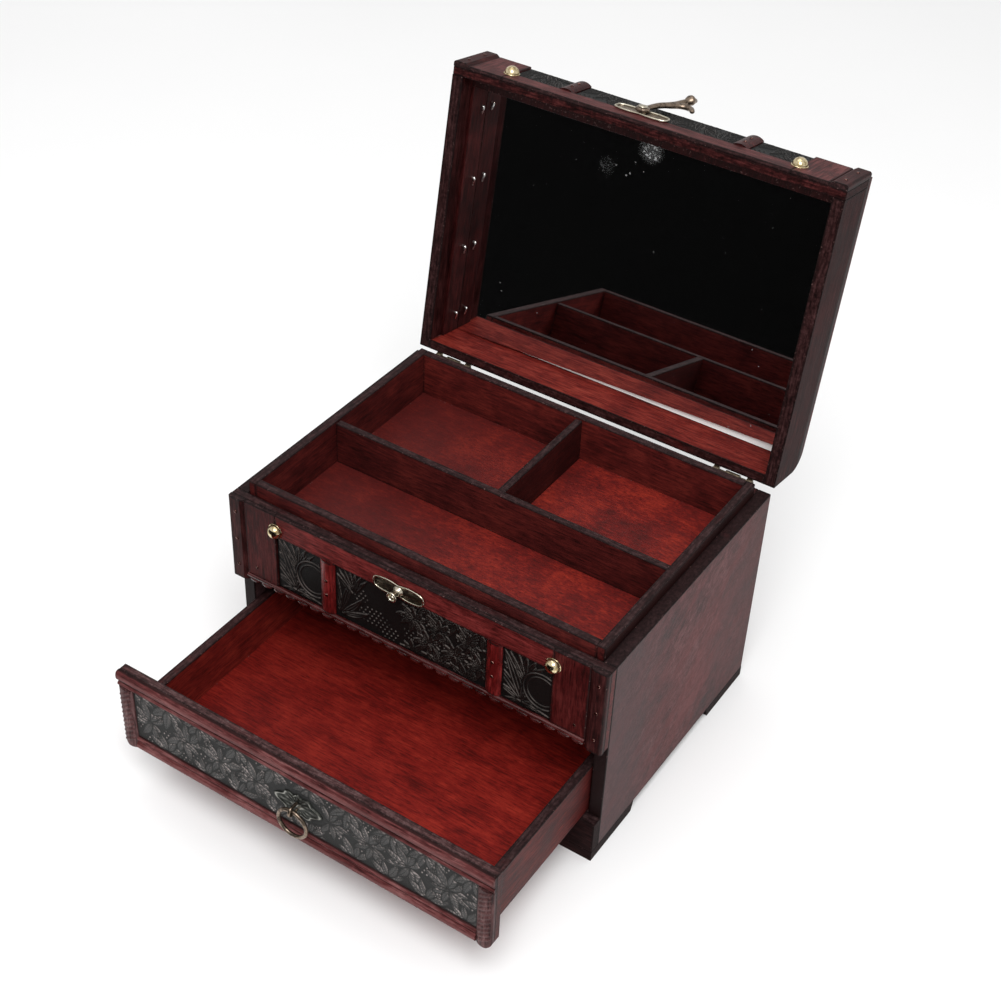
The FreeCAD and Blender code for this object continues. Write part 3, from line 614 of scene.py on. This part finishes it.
# Latch catch: a small lobed plate of cast bronze with a hollow stud, pinned on the top rail.
# The metal has gone dark in its sunk field and is bright along the raised rim.
def aged_metal(name, bright, dark, gloss, patina):
    """Cast or plated metal with a broken patina, bright where it is rubbed."""
    material, shader, place = new_material(name)
    stains = speckle(place, 420.0, 5.0, 0.65, 0.3)
    grit = speckle(place, 2600.0, 3.0, 0.6)
    blend = weighed((stains, 0.75), (grit, 0.25))
    tone = fade(blend, patina - 0.12, patina + 0.12)
    feed(shader, {"Base Color": tint(tone, dark, bright), "Metallic": 1.0,
                  "Roughness": fade(tone, 0.0, 1.0, gloss + 0.25, gloss),
                  "Normal": bump(blend, 0.25, 0.0002)})
    return material


def bearings(count, closed=False):
    """The angles of equal steps round a circle, with the first one again at the end if it is closed."""
    return [2.0 * math.pi * step / count for step in range(count + closed)]


def lofted(name, corners, sides):
    """A closed mesh over rings of corners that all have the same number of sides."""
    faces = [tuple(range(sides))[::-1], tuple(range(len(corners) - sides, len(corners)))]
    for start in range(0, len(corners) - sides, sides):
        for step in range(sides):
            a, b = start + step, start + (step + 1) % sides
            faces.append((a, b, b + sides, a + sides))
    return new_mesh(name, corners, faces)


def bent_rod(name, path, radii, out, flat=1.0, sides=10):
    """A round rod that follows points in a plane, with its own radius at each point and rounded ends."""
    end_reach, end_share = 0.7, 0.55
    out = Vector(out).normalized()
    path = [Vector(point) for point in path]
    first, last = (path[1] - path[0]).normalized(), (path[-1] - path[-2]).normalized()
    path = [path[0] - first * radii[0] * end_reach] + path + [path[-1] + last * radii[-1] * end_reach]
    radii = [radii[0] * end_share] + list(radii) + [radii[-1] * end_share]
    corners = []
    for index, (point, radius) in enumerate(zip(path, radii)):
        ahead = path[min(index + 1, len(path) - 1)] - path[max(index - 1, 0)]
        side = ahead.normalized().cross(out)
        for angle in bearings(sides):
            over, rise = radius * math.cos(angle), radius * flat * math.sin(angle)
            corners.append(point + side * over + out * rise)
    return lofted(name, corners, sides)


def smooth_path(points, steps=6):
    """Points along a smooth curve through the given ones, and their radii (the last number of each)."""
    held = [np.array(point, dtype=float) for point in points]
    held = [2 * held[0] - held[1]] + held + [2 * held[-1] - held[-2]]
    along = []
    for a, b, c, d in zip(held, held[1:], held[2:], held[3:]):
        for step in range(steps):
            t = step / steps
            square, cube = 2 * a - 5 * b + 4 * c - d, 3 * b - a - 3 * c + d
            along.append(0.5 * (2 * b + (c - a) * t + square * t * t + cube * t ** 3))
    along.append(held[-2])
    return [tuple(point[:3]) for point in along], [float(point[3]) for point in along]


def joined_piece(name, meshes, material):
    """One object from several closed meshes, all facing outward."""
    shell = bmesh.new()
    for mesh in meshes:
        shell.from_mesh(mesh)
    bmesh.ops.recalc_face_normals(shell, faces=shell.faces)
    joined = bpy.data.meshes.new(name)
    shell.to_mesh(joined)
    shell.free()
    joined.shade_smooth()
    joined.materials.append(material)
    return new_piece(name, joined)


def turned_piece(name, profile, middle, sides=28):
    """A turned piece that stands out of the front, from (radius, height over the wood) pairs in mm."""
    corners = []
    for radius, height in profile:
        for angle in bearings(sides):
            over, rise = radius / 1000 * math.cos(angle), radius / 1000 * math.sin(angle)
            corners.append((middle.x + over, middle.y - height / 1000, middle.z + rise))
    return lofted(name, corners, sides)


def waisted_plate(middle, half_long, half_tall):
    """A plate with two lobes: the rim as a round bead, and the sunk field inside it as a thin sheet."""
    bead, bead_lift, field_depth, count = 0.00055, 0.00063, 0.0005, 72
    squareness, lobe_share, waist_depth, waist_width = 0.55, 0.86, 0.22, 0.22
    edge = []
    for angle in bearings(count):
        over, rise = math.cos(angle), math.sin(angle)
        x = half_long * math.copysign(abs(over) ** squareness, over)
        z = half_tall * math.copysign(abs(rise) ** squareness, rise)
        z *= lobe_share - waist_depth * math.exp(-((x / (waist_width * half_long)) ** 2))
        edge.append((middle.x + x * (1.0 - bead / half_long), middle.z + z * (1.0 - bead / half_tall)))
    round_edge = [(x, middle.y - bead_lift, z) for x, z in edge + edge[:1]]
    rim = bent_rod("rim", round_edge, [bead] * len(round_edge), (0, 1, 0))
    sheet = [(x, middle.y - height, z) for height in (0.0, field_depth) for x, z in edge]
    return rim, lofted("field", sheet, count)


bright_bronze = aged_metal("bright_bronze", (0.62, 0.57, 0.46), (0.20, 0.17, 0.12), gloss=0.26, patina=0.42)
dark_bronze = aged_metal("dark_bronze", (0.105, 0.082, 0.055), (0.026, 0.020, 0.015), gloss=0.42, patina=0.50)
low, high = node_box("latch_catch")
catch_middle = Vector(((low.x + high.x) / 2, high.y, (low.z + high.z) / 2))
plate_long, plate_tall = (high.x - low.x) / 2, (high.z - low.z) / 2
rim, field = waisted_plate(catch_middle, plate_long, plate_tall)
stud = turned_piece("stud", ((3.0, 0.3), (2.7, 1.1), (1.9, 1.5), (1.8, 4.4), (2.5, 5.2), (2.8, 6.0),
                             (2.7, 6.5), (2.3, 6.7), (1.8, 6.4), (1.6, 5.6), (1.5, 4.0)), catch_middle)
catch = joined_piece("catch_rim_and_stud", (rim, stud), bright_bronze)
catch_field = joined_piece("catch_field", (field,), dark_bronze)
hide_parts("latch_catch")
for piece in (catch, catch_field):
    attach(piece, "carcass")


# Hinges: two plated steel butt hinges let onto the back, with their pins and countersunk screws.
# The plating has gone dark and freckled.
hinge_metal = aged_metal("dull_plating", (0.16, 0.125, 0.085), (0.050, 0.038, 0.028), gloss=0.40, patina=0.46)
for name in ("body_hinge_leaves", "hinge_pins", "lid_hinge_leaves"):
    finish_node(name, hinge_metal)
tree, given = new_tree("slotted_screws", {"Radius": real, "Height": real, "Slot": real})
round_bar = {"Vertices": 18, "Side Segments": 1, "Radius": given["Radius"], "Depth": given["Height"]}
head = put("GeometryNodeMeshCylinder", round_bar, fill_type="NGON")[0]
head = moved(head, Rotation=(math.pi / 2, 0, 0))
slot_size = measure(calc("MULTIPLY", given["Radius"], 2.2), given["Height"], given["Slot"])
slot_shift = measure(y=calc("MULTIPLY", given["Height"], 0.7))
slot_bar = put("GeometryNodeMeshCube", {"Size": slot_size})[0]
slot_turn = 0.6
slot_bar = moved(slot_bar, Translation=slot_shift, Rotation=(0, slot_turn, 0))
slotted = put("GeometryNodeMeshBoolean", {"Mesh 1": head, "Mesh 2": slot_bar}, operation="DIFFERENCE")[0]
close_tree(at_points(given["Geometry"], slotted), hinge_metal)
screw_sizes = {"Radius": 0.0016, "Height": 0.0008, "Slot": 0.0005}
leaf_face = 0.0784
for name, body, level, carried in (("body_hinge_screws", "carcass", 0.11875, Matrix()),
                                   ("lid_hinge_screws", "lid", 0.13555, lid_open)):
    places = [(x, leaf_face, level) for x in (-0.0935, -0.0805, 0.0805, 0.0935)]
    heads = made_by(tree, "slotted_" + name, screw_sizes, places)
    heads.data.transform(carried)
    heads.data.shade_flat()
    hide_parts(name)
    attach(heads, body)


# Dome tacks: four polished brass upholstery tacks, one at each end of the body's and the lid's front.
# Each is a pressed dome on a thin flange, driven in through the flats.
def polished_brass(name, bright, spots):
    material, shader, place = new_material(name)
    stains = speckle(place, 600.0, 4.0, 0.6)
    feed(shader, {"Base Color": tint(fade(stains, 0.40, 0.58), spots, bright), "Metallic": 1.0,
                  "Roughness": fade(stains, 0.35, 0.65, 0.30, 0.13)})
    return material


tack_brass = polished_brass("tack_brass", (0.78, 0.66, 0.42), (0.40, 0.30, 0.15))
tree, given = new_tree("dome_tacks", {"Radius": real, "Height": real, "Flange": real})
blank = ball(tree, 32, 20)
dome_radius = calc("MULTIPLY", given["Radius"], 0.90)
dome = moved(blank, Scale=measure(dome_radius, given["Height"], dome_radius))
flange = moved(blank, Scale=measure(given["Radius"], given["Flange"], given["Radius"]))
close_tree(at_points(given["Geometry"], together(dome, flange)), tack_brass)
tack_sizes = {"Radius": 0.0043, "Height": 0.0039, "Flange": 0.0008}
flat_face = -0.0835
for name, body, level, carried in (("body_tacks", "carcass", 0.117, Matrix()),
                                   ("lid_tacks", "lid", 0.1373, lid_open)):
    domes = made_by(tree, "domed_" + name, tack_sizes, [(x, flat_face, level) for x in (-0.081, 0.081)])
    domes.data.transform(carried)
    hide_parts(name)
    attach(domes, body)


# Small nails: round brass heads through the posts, the straps and the flats, a little proud of the wood.
# They have darkened, with a bright spot on each crown.
def nail_places(name, carried):
    """The middles of a node's nail heads, from the solids that the new heads stand for."""
    back, head_width = carried.inverted(), 0.0025
    heads = []
    for corner in nodes[name].data.vertices:
        at = back @ corner.co
        for held in heads:
            if abs(held[0].x - at.x) < head_width and abs(held[0].z - at.z) < head_width:
                held.append(at)
                break
        else:
            heads.append([at])
    middles = []
    for held in heads:
        xs, ys, zs = zip(*held)
        middles.append(((min(xs) + max(xs)) / 2, max(ys), (min(zs) + max(zs)) / 2))
    return middles


nail_brass = polished_brass("nail_brass", (0.25, 0.13, 0.11), (0.05, 0.020, 0.016))
tree, given = new_tree("nail_heads", {"Radius": real, "Height": real})
head_size = measure(given["Radius"], given["Height"], given["Radius"])
close_tree(at_points(given["Geometry"], ball(tree, 12, 8), Scale=head_size), nail_brass)
nail_sizes = {"Radius": 0.00092, "Height": 0.0005}
for name, body, carried in (("body_nails", "carcass", Matrix()), ("lid_nails", "lid", lid_open)):
    heads = made_by(tree, "round_" + name, nail_sizes, nail_places(name, carried))
    heads.data.transform(carried)
    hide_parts(name)
    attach(heads, body)


# Lid boards: four walls and a top board of red wood, jointed like the carcass and hinged along the back.
# The rim is rubbed grey, the rear wall inside has kept its bright stain, and the outside has gone brown.
lid_side_tones = ((0.0064, 0.0014, 0.0014), (0.0210, 0.0040, 0.0040), (0.052, 0.0140, 0.0135))
lid_rear_tones = ((0.040, 0.0036, 0.0030), (0.125, 0.0115, 0.0088), (0.235, 0.034, 0.023))
rim_bare = ((0.0050, 0.0019, 0.0019), (0.0210, 0.0078, 0.0078), (0.060, 0.026, 0.026))
front_rim_bare = ((0.0040, 0.0012, 0.0012), (0.0240, 0.0052, 0.0052), (0.084, 0.020, 0.019))
for name, tones, grain, bare_tones in (("lid_front_board", lid_side_tones, (0, 0, 0), front_rim_bare),
                                       ("lid_left_wall", lid_side_tones, front_to_back, rim_bare),
                                       ("lid_right_wall", lid_side_tones, front_to_back, rim_bare),
                                       ("lid_back_wall", lid_rear_tones, (0, 0, 0), rim_bare)):
    wood_node(name, tones, on_lid=True, grain=grain, haze=0.03, scuffed="rim", bare_tones=bare_tones)
wood_node("lid_top_board", lid_side_tones, on_lid=True)


# Lid trim: posts, flats and a rim rail like the body's, straps that run over the top, and borders on it.
# They are the same strips of red wood, glued and nailed.
lid_strip_tones = ((0.020, 0.0040, 0.0040), (0.072, 0.0165, 0.0160), (0.150, 0.048, 0.047))
lid_strap_tones = ((0.010, 0.0014, 0.0014), (0.030, 0.0042, 0.0042), (0.080, 0.016, 0.015))
for name, tones, paired, grain in (("lid_posts", post_tones, True, upright),
                                   ("lid_flats", lid_strip_tones, True, upright),
                                   ("lid_rim_rail", lid_strip_tones, False, (0, 0, 0))):
    wood_node(name, tones, paired, on_lid=True, grain=grain, scuffed="rim", bare_tones=rim_bare)
wood_node("lid_straps", lid_strap_tones, paired=True, on_lid=True, grain=front_to_back, edge=0.5, gloss=0.36)
wood_node("lid_top_borders", strip_tones, paired=True, on_lid=True, grain=front_to_back, edge=0.5)


# Lid leather: the same tooled leather on the lid's front, in three panels between the straps,
# and over the top board in three strips.
low, high = node_box("lid_front_leather", on_lid=True)
panels = zip(between_straps(low, high), (5, 6, 7))
lid_front = tooled_sheet("tooled_lid_front", [
    front_panel(low, high, *sides, foliage(1, seed)) for sides, seed in panels])
low, high = node_box("lid_top_leather", on_lid=True)
panels = zip(between_straps(low, high), (8, 9, 10))
lid_top = tooled_sheet("tooled_lid_top", [
    ((left, low.y, low.z), (1, 0, 0), (0, 1, 0), (0, 0, 1), right - left, high.y - low.y, high.z - low.z,
     foliage(6, seed)) for (left, right), seed in panels], step=0.00055)
for sheet, node in ((lid_front, "lid_front_leather"), (lid_top, "lid_top_leather")):
    sheet.data.transform(lid_open)
    sheet.data.materials.append(box_leather)
    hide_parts(node)
    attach(sheet, "lid")


# Mirror: a plain silvered glass with a ground edge, laid into the lid on a pale backing card.
# It is a little dusty, with two dry smears near its upper edge.
silver, dust_grey = (0.80, 0.81, 0.81), (0.42, 0.42, 0.43)
mirror_glass, shader, place = new_material("mirror_glass")
dust = put("ShaderNodeTexVoronoi", {"Vector": place, "Scale": 210.0, "Randomness": 1.0}, feature="F1")
mote_size = fade(speckle(place, 24.0, 3.0, 0.6), 0.45, 0.70, 0.03, 0.12)
motes = calc("LESS_THAN", dust["Distance"], mote_size)
film = calc("MULTIPLY", motes, fade(speckle(place, 60.0), 0.46, 0.60, 0.0, 0.22))
specks = fade(speckle(place, 700.0, 4.0, 0.7), 0.54, 0.64, 0.10, 0.80)
for spot, size, strength in (((-0.0024, 0.1275, 0.2629), 0.0085, 1.0),
                             ((-0.0258, 0.1249, 0.2481), 0.0060, 0.12)):
    away = vector_calc("DISTANCE", place, spot)["Value"]
    smear = calc("MULTIPLY", fade(away, size, size * 0.25, 0.0, strength), specks)
    film = calc("MAXIMUM", film, smear)
feed(shader, {"Base Color": tint(film, silver, dust_grey), "Metallic": calc("SUBTRACT", 1.0, film),
              "Roughness": fade(film, 0.0, 0.5, 0.02, 0.5)})
finish_node("mirror", mirror_glass)


# Backing card: pale grey board behind the glass, cut larger than the glass at its lower edge.
# It shows there as a thin wedge.
backing, shader, place = new_material("backing_card")
pulp = speckle(place, 900.0, 4.0, 0.7)
feed(shader, {"Base Color": ramp(pulp, ((0.35, (0.92, 0.91, 0.89)), (0.65, (0.97, 0.97, 0.96)))),
              "Roughness": fade(pulp, 0.3, 0.7, 0.7, 0.9), "Normal": bump(pulp, 0.2, 0.0002)})
finish_node("mirror_backing", backing)


# Mirror rails: thin strips of dark wood against the lid's walls that hold the glass down.
# They are planed square and stained like the inside of the walls.
rail_tones = ((0.008, 0.0011, 0.0011), (0.026, 0.0031, 0.0031), (0.066, 0.0098, 0.0092))
wood_node("mirror_rails", rail_tones, paired=True, on_lid=True, grain=front_to_back, edge=0.4)


# Brads: thin bright wire pins driven through each rail and bent over along it to hold it.
# They are plain drawn steel, four to a rail.
pin_steel = aged_metal("pin_steel", (0.92, 0.90, 0.87), (0.50, 0.48, 0.45), gloss=0.24, patina=0.40)
rail_half, level, wire, bent_out = 0.1018, 0.1463, 0.0006, 0.0013
pins = []
for side in (-1, 1):
    for y in (-0.0590, -0.01933, 0.02033, 0.0600):
        rail_face = rail_half * side
        lifted = rail_face - bent_out * side
        path, radii = smooth_path(((rail_face, y, level, wire), (lifted, y + 0.0002, level, wire),
                                   (lifted, y + 0.0017, level + 0.0002, 0.00058),
                                   (rail_face - 0.0007 * side, y + 0.0040, level + 0.0004, 0.0005)))
        pins.append(bent_rod("pin", path, radii, (0, 0, 1)))
brads = joined_piece("bent_brads", pins, pin_steel)
brads.data.transform(lid_open)
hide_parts("rail_brads")
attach(brads, "lid")


# Latch plate and hook: a second bronze plate on the lid's rail with a pivot, and a cast hook turning on it.
# The hook is a flattened rod with an eye, a claw for the stud and a thumb knob at its end.
hook_bronze = aged_metal("rubbed_bronze", (0.27, 0.205, 0.155), (0.050, 0.038, 0.030),
                         gloss=0.28, patina=0.46)
low, high = node_box("lid_latch_plate", on_lid=True)
plate_middle = Vector(((low.x + high.x) / 2, high.y, (low.z + high.z) / 2))
rim, field = waisted_plate(plate_middle, plate_long, plate_tall)
pivot_post = turned_piece("pivot", ((2.2, 0.3), (1.5, 1.2), (1.4, 3.4), (2.4, 3.6), (2.4, 3.9), (1.7, 4.2),
                                    (0.7, 4.4)), plate_middle)
lid_plate = joined_piece("lid_plate_rim_and_pivot", (rim, pivot_post), bright_bronze)
lid_field = joined_piece("lid_plate_field", (field,), hook_bronze)
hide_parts("lid_latch_plate")
for piece in (lid_plate, lid_field):
    piece.data.transform(lid_open)
    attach(piece, "lid")
pivot = Vector((-0.0055, -0.0859, 0.1388))
eye_reach, eye_wire = 0.0027, 0.0011
eye_path = [(pivot.x + eye_reach * math.cos(angle), pivot.y, pivot.z + eye_reach * math.sin(angle))
            for angle in bearings(24, closed=True)]
hook_parts = [bent_rod("eye", eye_path, [eye_wire] * len(eye_path), (0, 1, 0))]
# The hook's other rods with the lid shut and the claw on the stud, as (x, y, z, radius) in mm
arm = ((-4.6, -85.9, 136.2, 1.4), (-2.6, -86.0, 132.0, 1.5), (-1.4, -86.2, 127.5, 1.7),
       (-0.6, -86.2, 122.5, 1.7), (0.8, -86.3, 117.5, 1.5), (2.2, -86.6, 113.0, 1.5),
       (2.8, -86.9, 109.8, 1.7))
claw = ((-1.3, -86.1, 125.0, 1.4), (-1.2, -86.1, 120.5, 1.7), (-1.4, -86.1, 116.5, 1.7),
        (-3.4, -86.1, 113.4, 1.7), (-6.6, -86.1, 112.3, 1.6), (-10.0, -86.1, 113.4, 1.3))
knob = ((2.8, -86.8, 110.4, 1.7), (2.9, -87.1, 109.4, 2.5), (3.0, -87.4, 108.1, 3.0),
        (3.0, -87.5, 106.8, 2.9), (3.0, -87.4, 105.6, 1.9))
for name, points in (("arm", arm), ("claw", claw), ("knob", knob)):
    path, radii = smooth_path(np.array(points) / 1000)
    hook_parts.append(bent_rod(name, path, radii, (0, 1, 0), flat=0.86, sides=14))
hook = joined_piece("cast_hook", hook_parts, hook_bronze)
hook_swing = math.radians(-145.0)
hook.data.transform(lid_open @ turn_about(pivot, hook_swing, "Y"))
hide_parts("latch_hook")
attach(hook, "hook")


# Drawer: a shallow box of thin red boards behind a tall front, sliding on the carcass bottom.
# Its floor is the brightest red of all, with fine lengthwise fibres and a painted shade towards its left
# side;
# the board tops are scuffed.
bright_side_tones = ((0.058, 0.0060, 0.0052), (0.145, 0.0125, 0.0100), (0.260, 0.028, 0.0180))
drawer_floor_tones = ((0.078, 0.0052, 0.0043), (0.178, 0.0098, 0.0071), (0.300, 0.023, 0.0135))
drawer_bare = ((0.014, 0.0070, 0.0070), (0.052, 0.0250, 0.0250), (0.125, 0.074, 0.074))
for name, tones, grain in (("drawer_left_side", bright_side_tones, front_to_back),
                           ("drawer_right_side", wall_tones, front_to_back),
                           ("drawer_back", wall_tones, (0, 0, 0))):
    wood_node(name, tones, grain=grain, edge=0.7, scuffed="top")
# The floor gets a painted shade that deepens towards its left side.
wood_node("drawer_floor", drawer_floor_tones, cloud=0.50, edge=0.0, haze=0.12, figure=0.95,
          shades=((0, 0.09, -0.09, 0.3, drawer_floor_tones[0]),))
wood_node("drawer_front_board", wall_tones, scuffed="top", bare_tones=drawer_bare)


# Drawer mouldings and end strips: rounded strips glued round the leather as a raised frame.
# The upright end strips are carved like a rope, and the crowns are rubbed to a mauve sheen; the moulded
# strips have painted shade in their groove and a lighter crest line that is partly rubbed wear and partly a
# painted highlight.
def moulded_strip(profile, face, edge, inward, left, right):
    """A strip along X, from (depth out of the board, distance in from its outer edge) pairs in mm."""
    corners = [(x, face - depth / 1000, edge + inward * inset / 1000)
               for x in (left, right) for depth, inset in profile]
    return lofted("moulded_strip", corners, len(profile))


frame_tones = ((0.030, 0.0070, 0.0070), (0.100, 0.0250, 0.0250), (0.21, 0.085, 0.083))
low, high = node_box("drawer_mouldings")
leather_low, leather_high = node_box("drawer_leather")
# Painted shade in the groove and next to the board, and a lighter crest line, partly rubbed wear and partly a
# painted highlight.
drawer_frame_wood = stained_wood("drawer_moulding_wood", (low, high), frame_tones, edge=0.3, haze=0.08,
                                 shades=((1, low.y + 0.0011, low.y + 0.0019, 0.8, painted_shade_colour),
                                         (1, low.y + 0.0003, low.y, 0.3, frame_tones[2])))
top_curve = ((0.0, 0.0), (1.3, 0.0), (2.0, 0.25), (2.5, 0.8), (2.85, 1.7), (3.0, 2.8), (2.9, 4.0),
             (2.6, 5.0), (2.1, 5.7), (1.5, 6.1), (1.2, 6.4), (1.2, 6.8), (1.6, 7.1), (2.1, 7.5),
             (2.35, 8.1), (2.25, 8.7), (1.8, 9.3), (1.2, 9.7), (0.85, 10.0), (0.0, 10.0))
top_strip = moulded_strip(top_curve, high.y, high.z, -1, low.x, high.x)
low_share = (leather_low.z - low.z) / 0.010
low_curve = [(depth, inset * low_share) for depth, inset in top_curve]
low_strip = moulded_strip(low_curve, high.y, low.z, 1, leather_low.x, leather_high.x)
mouldings = joined_piece("drawer_moulded_strips", (top_strip, low_strip), drawer_frame_wood)
mouldings.data.set_sharp_from_angle(angle=math.radians(50.0))
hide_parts("drawer_mouldings")
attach(mouldings, "drawer")
rope_tones = ((0.022, 0.0085, 0.0085), (0.084, 0.0340, 0.0340), (0.200, 0.110, 0.107))
low, high = node_box("drawer_end_strips", paired=True)
rope_wood = stained_wood("rope_strip_wood", (low, high), rope_tones, upright, edge=0.2, haze=0.15,
                         paired=True)
finish_node("drawer_end_strips", rope_wood)
tree, given = new_tree("rope_ridges", {"Ridge": vector, "Slant": real})
ridge_ball = moved(ball(tree, 12, 8), Scale=given["Ridge"])
ridges = at_points(given["Geometry"], ridge_ball, Rotation=measure(y=given["Slant"]))
close_tree(ridges, rope_wood)
ridge_sizes = {"Ridge": (0.0042, 0.0010, 0.0012), "Slant": math.radians(-32)}
middle_x, ridge_face, ridge_pitch = (low.x + high.x) / 2, low.y + 0.0006, 0.0031
levels = np.arange(low.z + 0.005, high.z - 0.0015, ridge_pitch)
ropes = made_by(tree, "rope_ridges", ridge_sizes, [
    (side * middle_x, ridge_face, float(level)) for side in (-1, 1) for level in levels])
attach(ropes, "drawer")


# Drawer leather: one long panel of tooled leather, glued into the frame and flat under the pull's plate.
# Its dye is rubbed off to a pewter grey on the raised work, whose upper slopes have a painted highlight and
# lower slopes a painted shade.
pull_level, plate_reach = 0.0498, (0.0165, 0.0095)
low, high = node_box("drawer_leather")


def clear_of_plate(u, v):
    """Leaves the leather flat under the plate of the pull."""
    beside, over = u - (high.x - low.x) / 2, v - (pull_level - low.z)
    away = np.hypot(beside / plate_reach[0], over / plate_reach[1])
    return np.clip((away - 0.95) / 0.15, 0.0, 1.0)


panel = front_panel(low, high, low.x, high.x, foliage(2, 11, domed=True))
drawer_sheet = tooled_sheet("tooled_drawer_leather", [panel], bare=clear_of_plate)
drawer_sheet.data.materials.append(tooled_leather(
    "drawer_leather_finish", ground=(0.015, 0.0150, 0.0145), blade=(0.040, 0.0385, 0.0370),
    painted_highlight=(0.32, 0.275, 0.262), shine=0.40))
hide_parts("drawer_leather")
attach(drawer_sheet, "drawer")


# Escutcheon: a thin stamped plate behind the ring, with a scalloped outline, flutes and a raised boss.
# It is pewter grey with a green tinge in the hollows.
pewter, shader, place = new_material("green_pewter")
worn = weighed((stored(place, "raised"), 1.0), (speckle(place, 500.0, 4.0, 0.65), 0.5))
pewter_tones = ((0.45, (0.022, 0.024, 0.021)), (0.80, (0.085, 0.088, 0.078)), (1.0, (0.30, 0.30, 0.27)))
feed(shader, {"Base Color": ramp(worn, pewter_tones), "Metallic": 1.0,
              "Roughness": fade(worn, 0.5, 1.1, 0.55, 0.28)})
low, high = node_box("escutcheon")
half_long, half_tall, depth = (high.x - low.x) / 2, (high.z - low.z) / 2, high.y - low.y
rings, spokes, lobes, flutes = 22, 120, 8, 16
bead_at, flutes_at, boss_edge, edge_from = 0.90, 0.58, 0.28, 0.95
corners, faces, raised = [], [], []
for ring in range(rings + 1):
    share = ring / rings
    bead = math.exp(-(((share - bead_at) / 0.06) ** 2))
    boss = 0.65 * math.exp(-((share / boss_edge) ** 4))
    fluted = 0.35 * math.exp(-(((share - flutes_at) / 0.18) ** 2))
    for bearing in bearings(spokes):
        reach = 1.0 / math.hypot(math.cos(bearing) / half_long, math.sin(bearing) / half_tall)
        reach *= share * (0.90 + 0.10 * math.cos(lobes * bearing))
        height = 0.30 + 0.55 * bead + boss + fluted * (0.5 + 0.5 * math.cos(flutes * bearing))
        raised.append(min(height, 1.0))
        if share > edge_from:
            height *= min(1.0, (1.0 - share) / 0.05)
        over, rise = reach * math.cos(bearing), reach * math.sin(bearing)
        corners.append((over, high.y - depth * min(height, 1.0), pull_level + rise))
for ring in range(rings):
    for spoke in range(spokes):
        a, b = ring * spokes + spoke, ring * spokes + (spoke + 1) % spokes
        faces.append((a, b, b + spokes, a + spokes) if ring else (a, b + spokes, a + spokes))
faces.append(tuple(range(rings * spokes, (rings + 1) * spokes)))
plate_mesh = new_mesh("stamped_escutcheon", corners, faces)
plate_mesh.attributes.new("raised", "FLOAT", "POINT").data.foreach_set("value", raised)
plate_mesh.shade_smooth()
plate_mesh.materials.append(pewter)
plate = new_piece("stamped_escutcheon", plate_mesh)
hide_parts("escutcheon")
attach(plate, "drawer")


# Ring pull: a round bronze wire ring that hangs in a staple through the plate.
# Both are cast or bent from the hook's bronze and rubbed in the same way.
for name in ("ring_staple", "pull_ring"):
    finish_node(name, hook_bronze)


# Studio: a pale floor under the box, soft light from the upper right and front, and the camera.
# A dark card in front of the box is there only for what the mirror reflects.
def flat_sheet(name, corners, material):
    sheet = new_piece(name, new_mesh(name, corners, [(0, 1, 2, 3)]))
    sheet.data.materials.append(material)
    return sheet


floor_paint, shader, place = new_material("floor_paint")
whites = ((0.3, (0.93, 0.93, 0.93)), (0.7, (0.95, 0.95, 0.95)))
feed(shader, {"Base Color": ramp(speckle(place, 3.0), whites), "Roughness": 0.8})
studio_floor = flat_sheet("studio_floor", [(-6, -6, 0), (6, -6, 0), (6, 6, 0), (-6, 6, 0)], floor_paint)

card_black, shader, _ = new_material("card_black")
feed(shader, {"Base Color": (0.0040, 0.0040, 0.0040), "Roughness": 1.0, "Specular IOR Level": 0.0})
card_y, card_top = -0.30, 0.23
dark_card = flat_sheet("dark_card", [(-0.75, card_y, 0.0), (0.25, card_y, 0.0), (0.25, card_y, card_top),
                                     (-0.75, card_y, card_top)], card_black)
dark_card.visible_camera = False
dark_card.visible_diffuse = False
dark_card.visible_shadow = False

room = bpy.data.worlds.new("studio_room")
room.use_nodes = True
feed(room.node_tree.nodes["Background"], {"Color": (1.0, 1.0, 1.0), "Strength": 0.72})
bpy.context.scene.world = room


def aimed(spot, along):
    """A stand at a spot that looks along a line."""
    return Matrix.Translation(spot) @ along.to_track_quat("-Z", "Y").to_matrix().to_4x4()


lit_spot = Vector((0, -0.03, 0.1))
for name, spot, size, power in (("key", Vector((0.5, -0.75, 1.45)), 0.9, 17.0),
                                ("top", Vector((-0.2, 0.1, 1.9)), 1.2, 5.0)):
    lamp = bpy.data.lights.new(name, "AREA")
    lamp.size = size
    lamp.energy = power
    new_piece(name, lamp).matrix_world = aimed(spot, lit_spot - spot)

eye, view = Vector((0.35217, -0.57382, 0.65940)), Vector((-0.41091, 0.66384, -0.62487))
roll = math.radians(2.740)
camera_data = bpy.data.cameras.new("camera")
camera_data.sensor_width = 36.0
camera_data.lens = 61.45
camera = new_piece("camera", camera_data)
camera.matrix_world = aimed(eye, view) @ Matrix.Rotation(roll, 4, "Z")
bpy.context.scene.camera = camera
bpy.context.scene.view_settings.view_transform = "Standard"
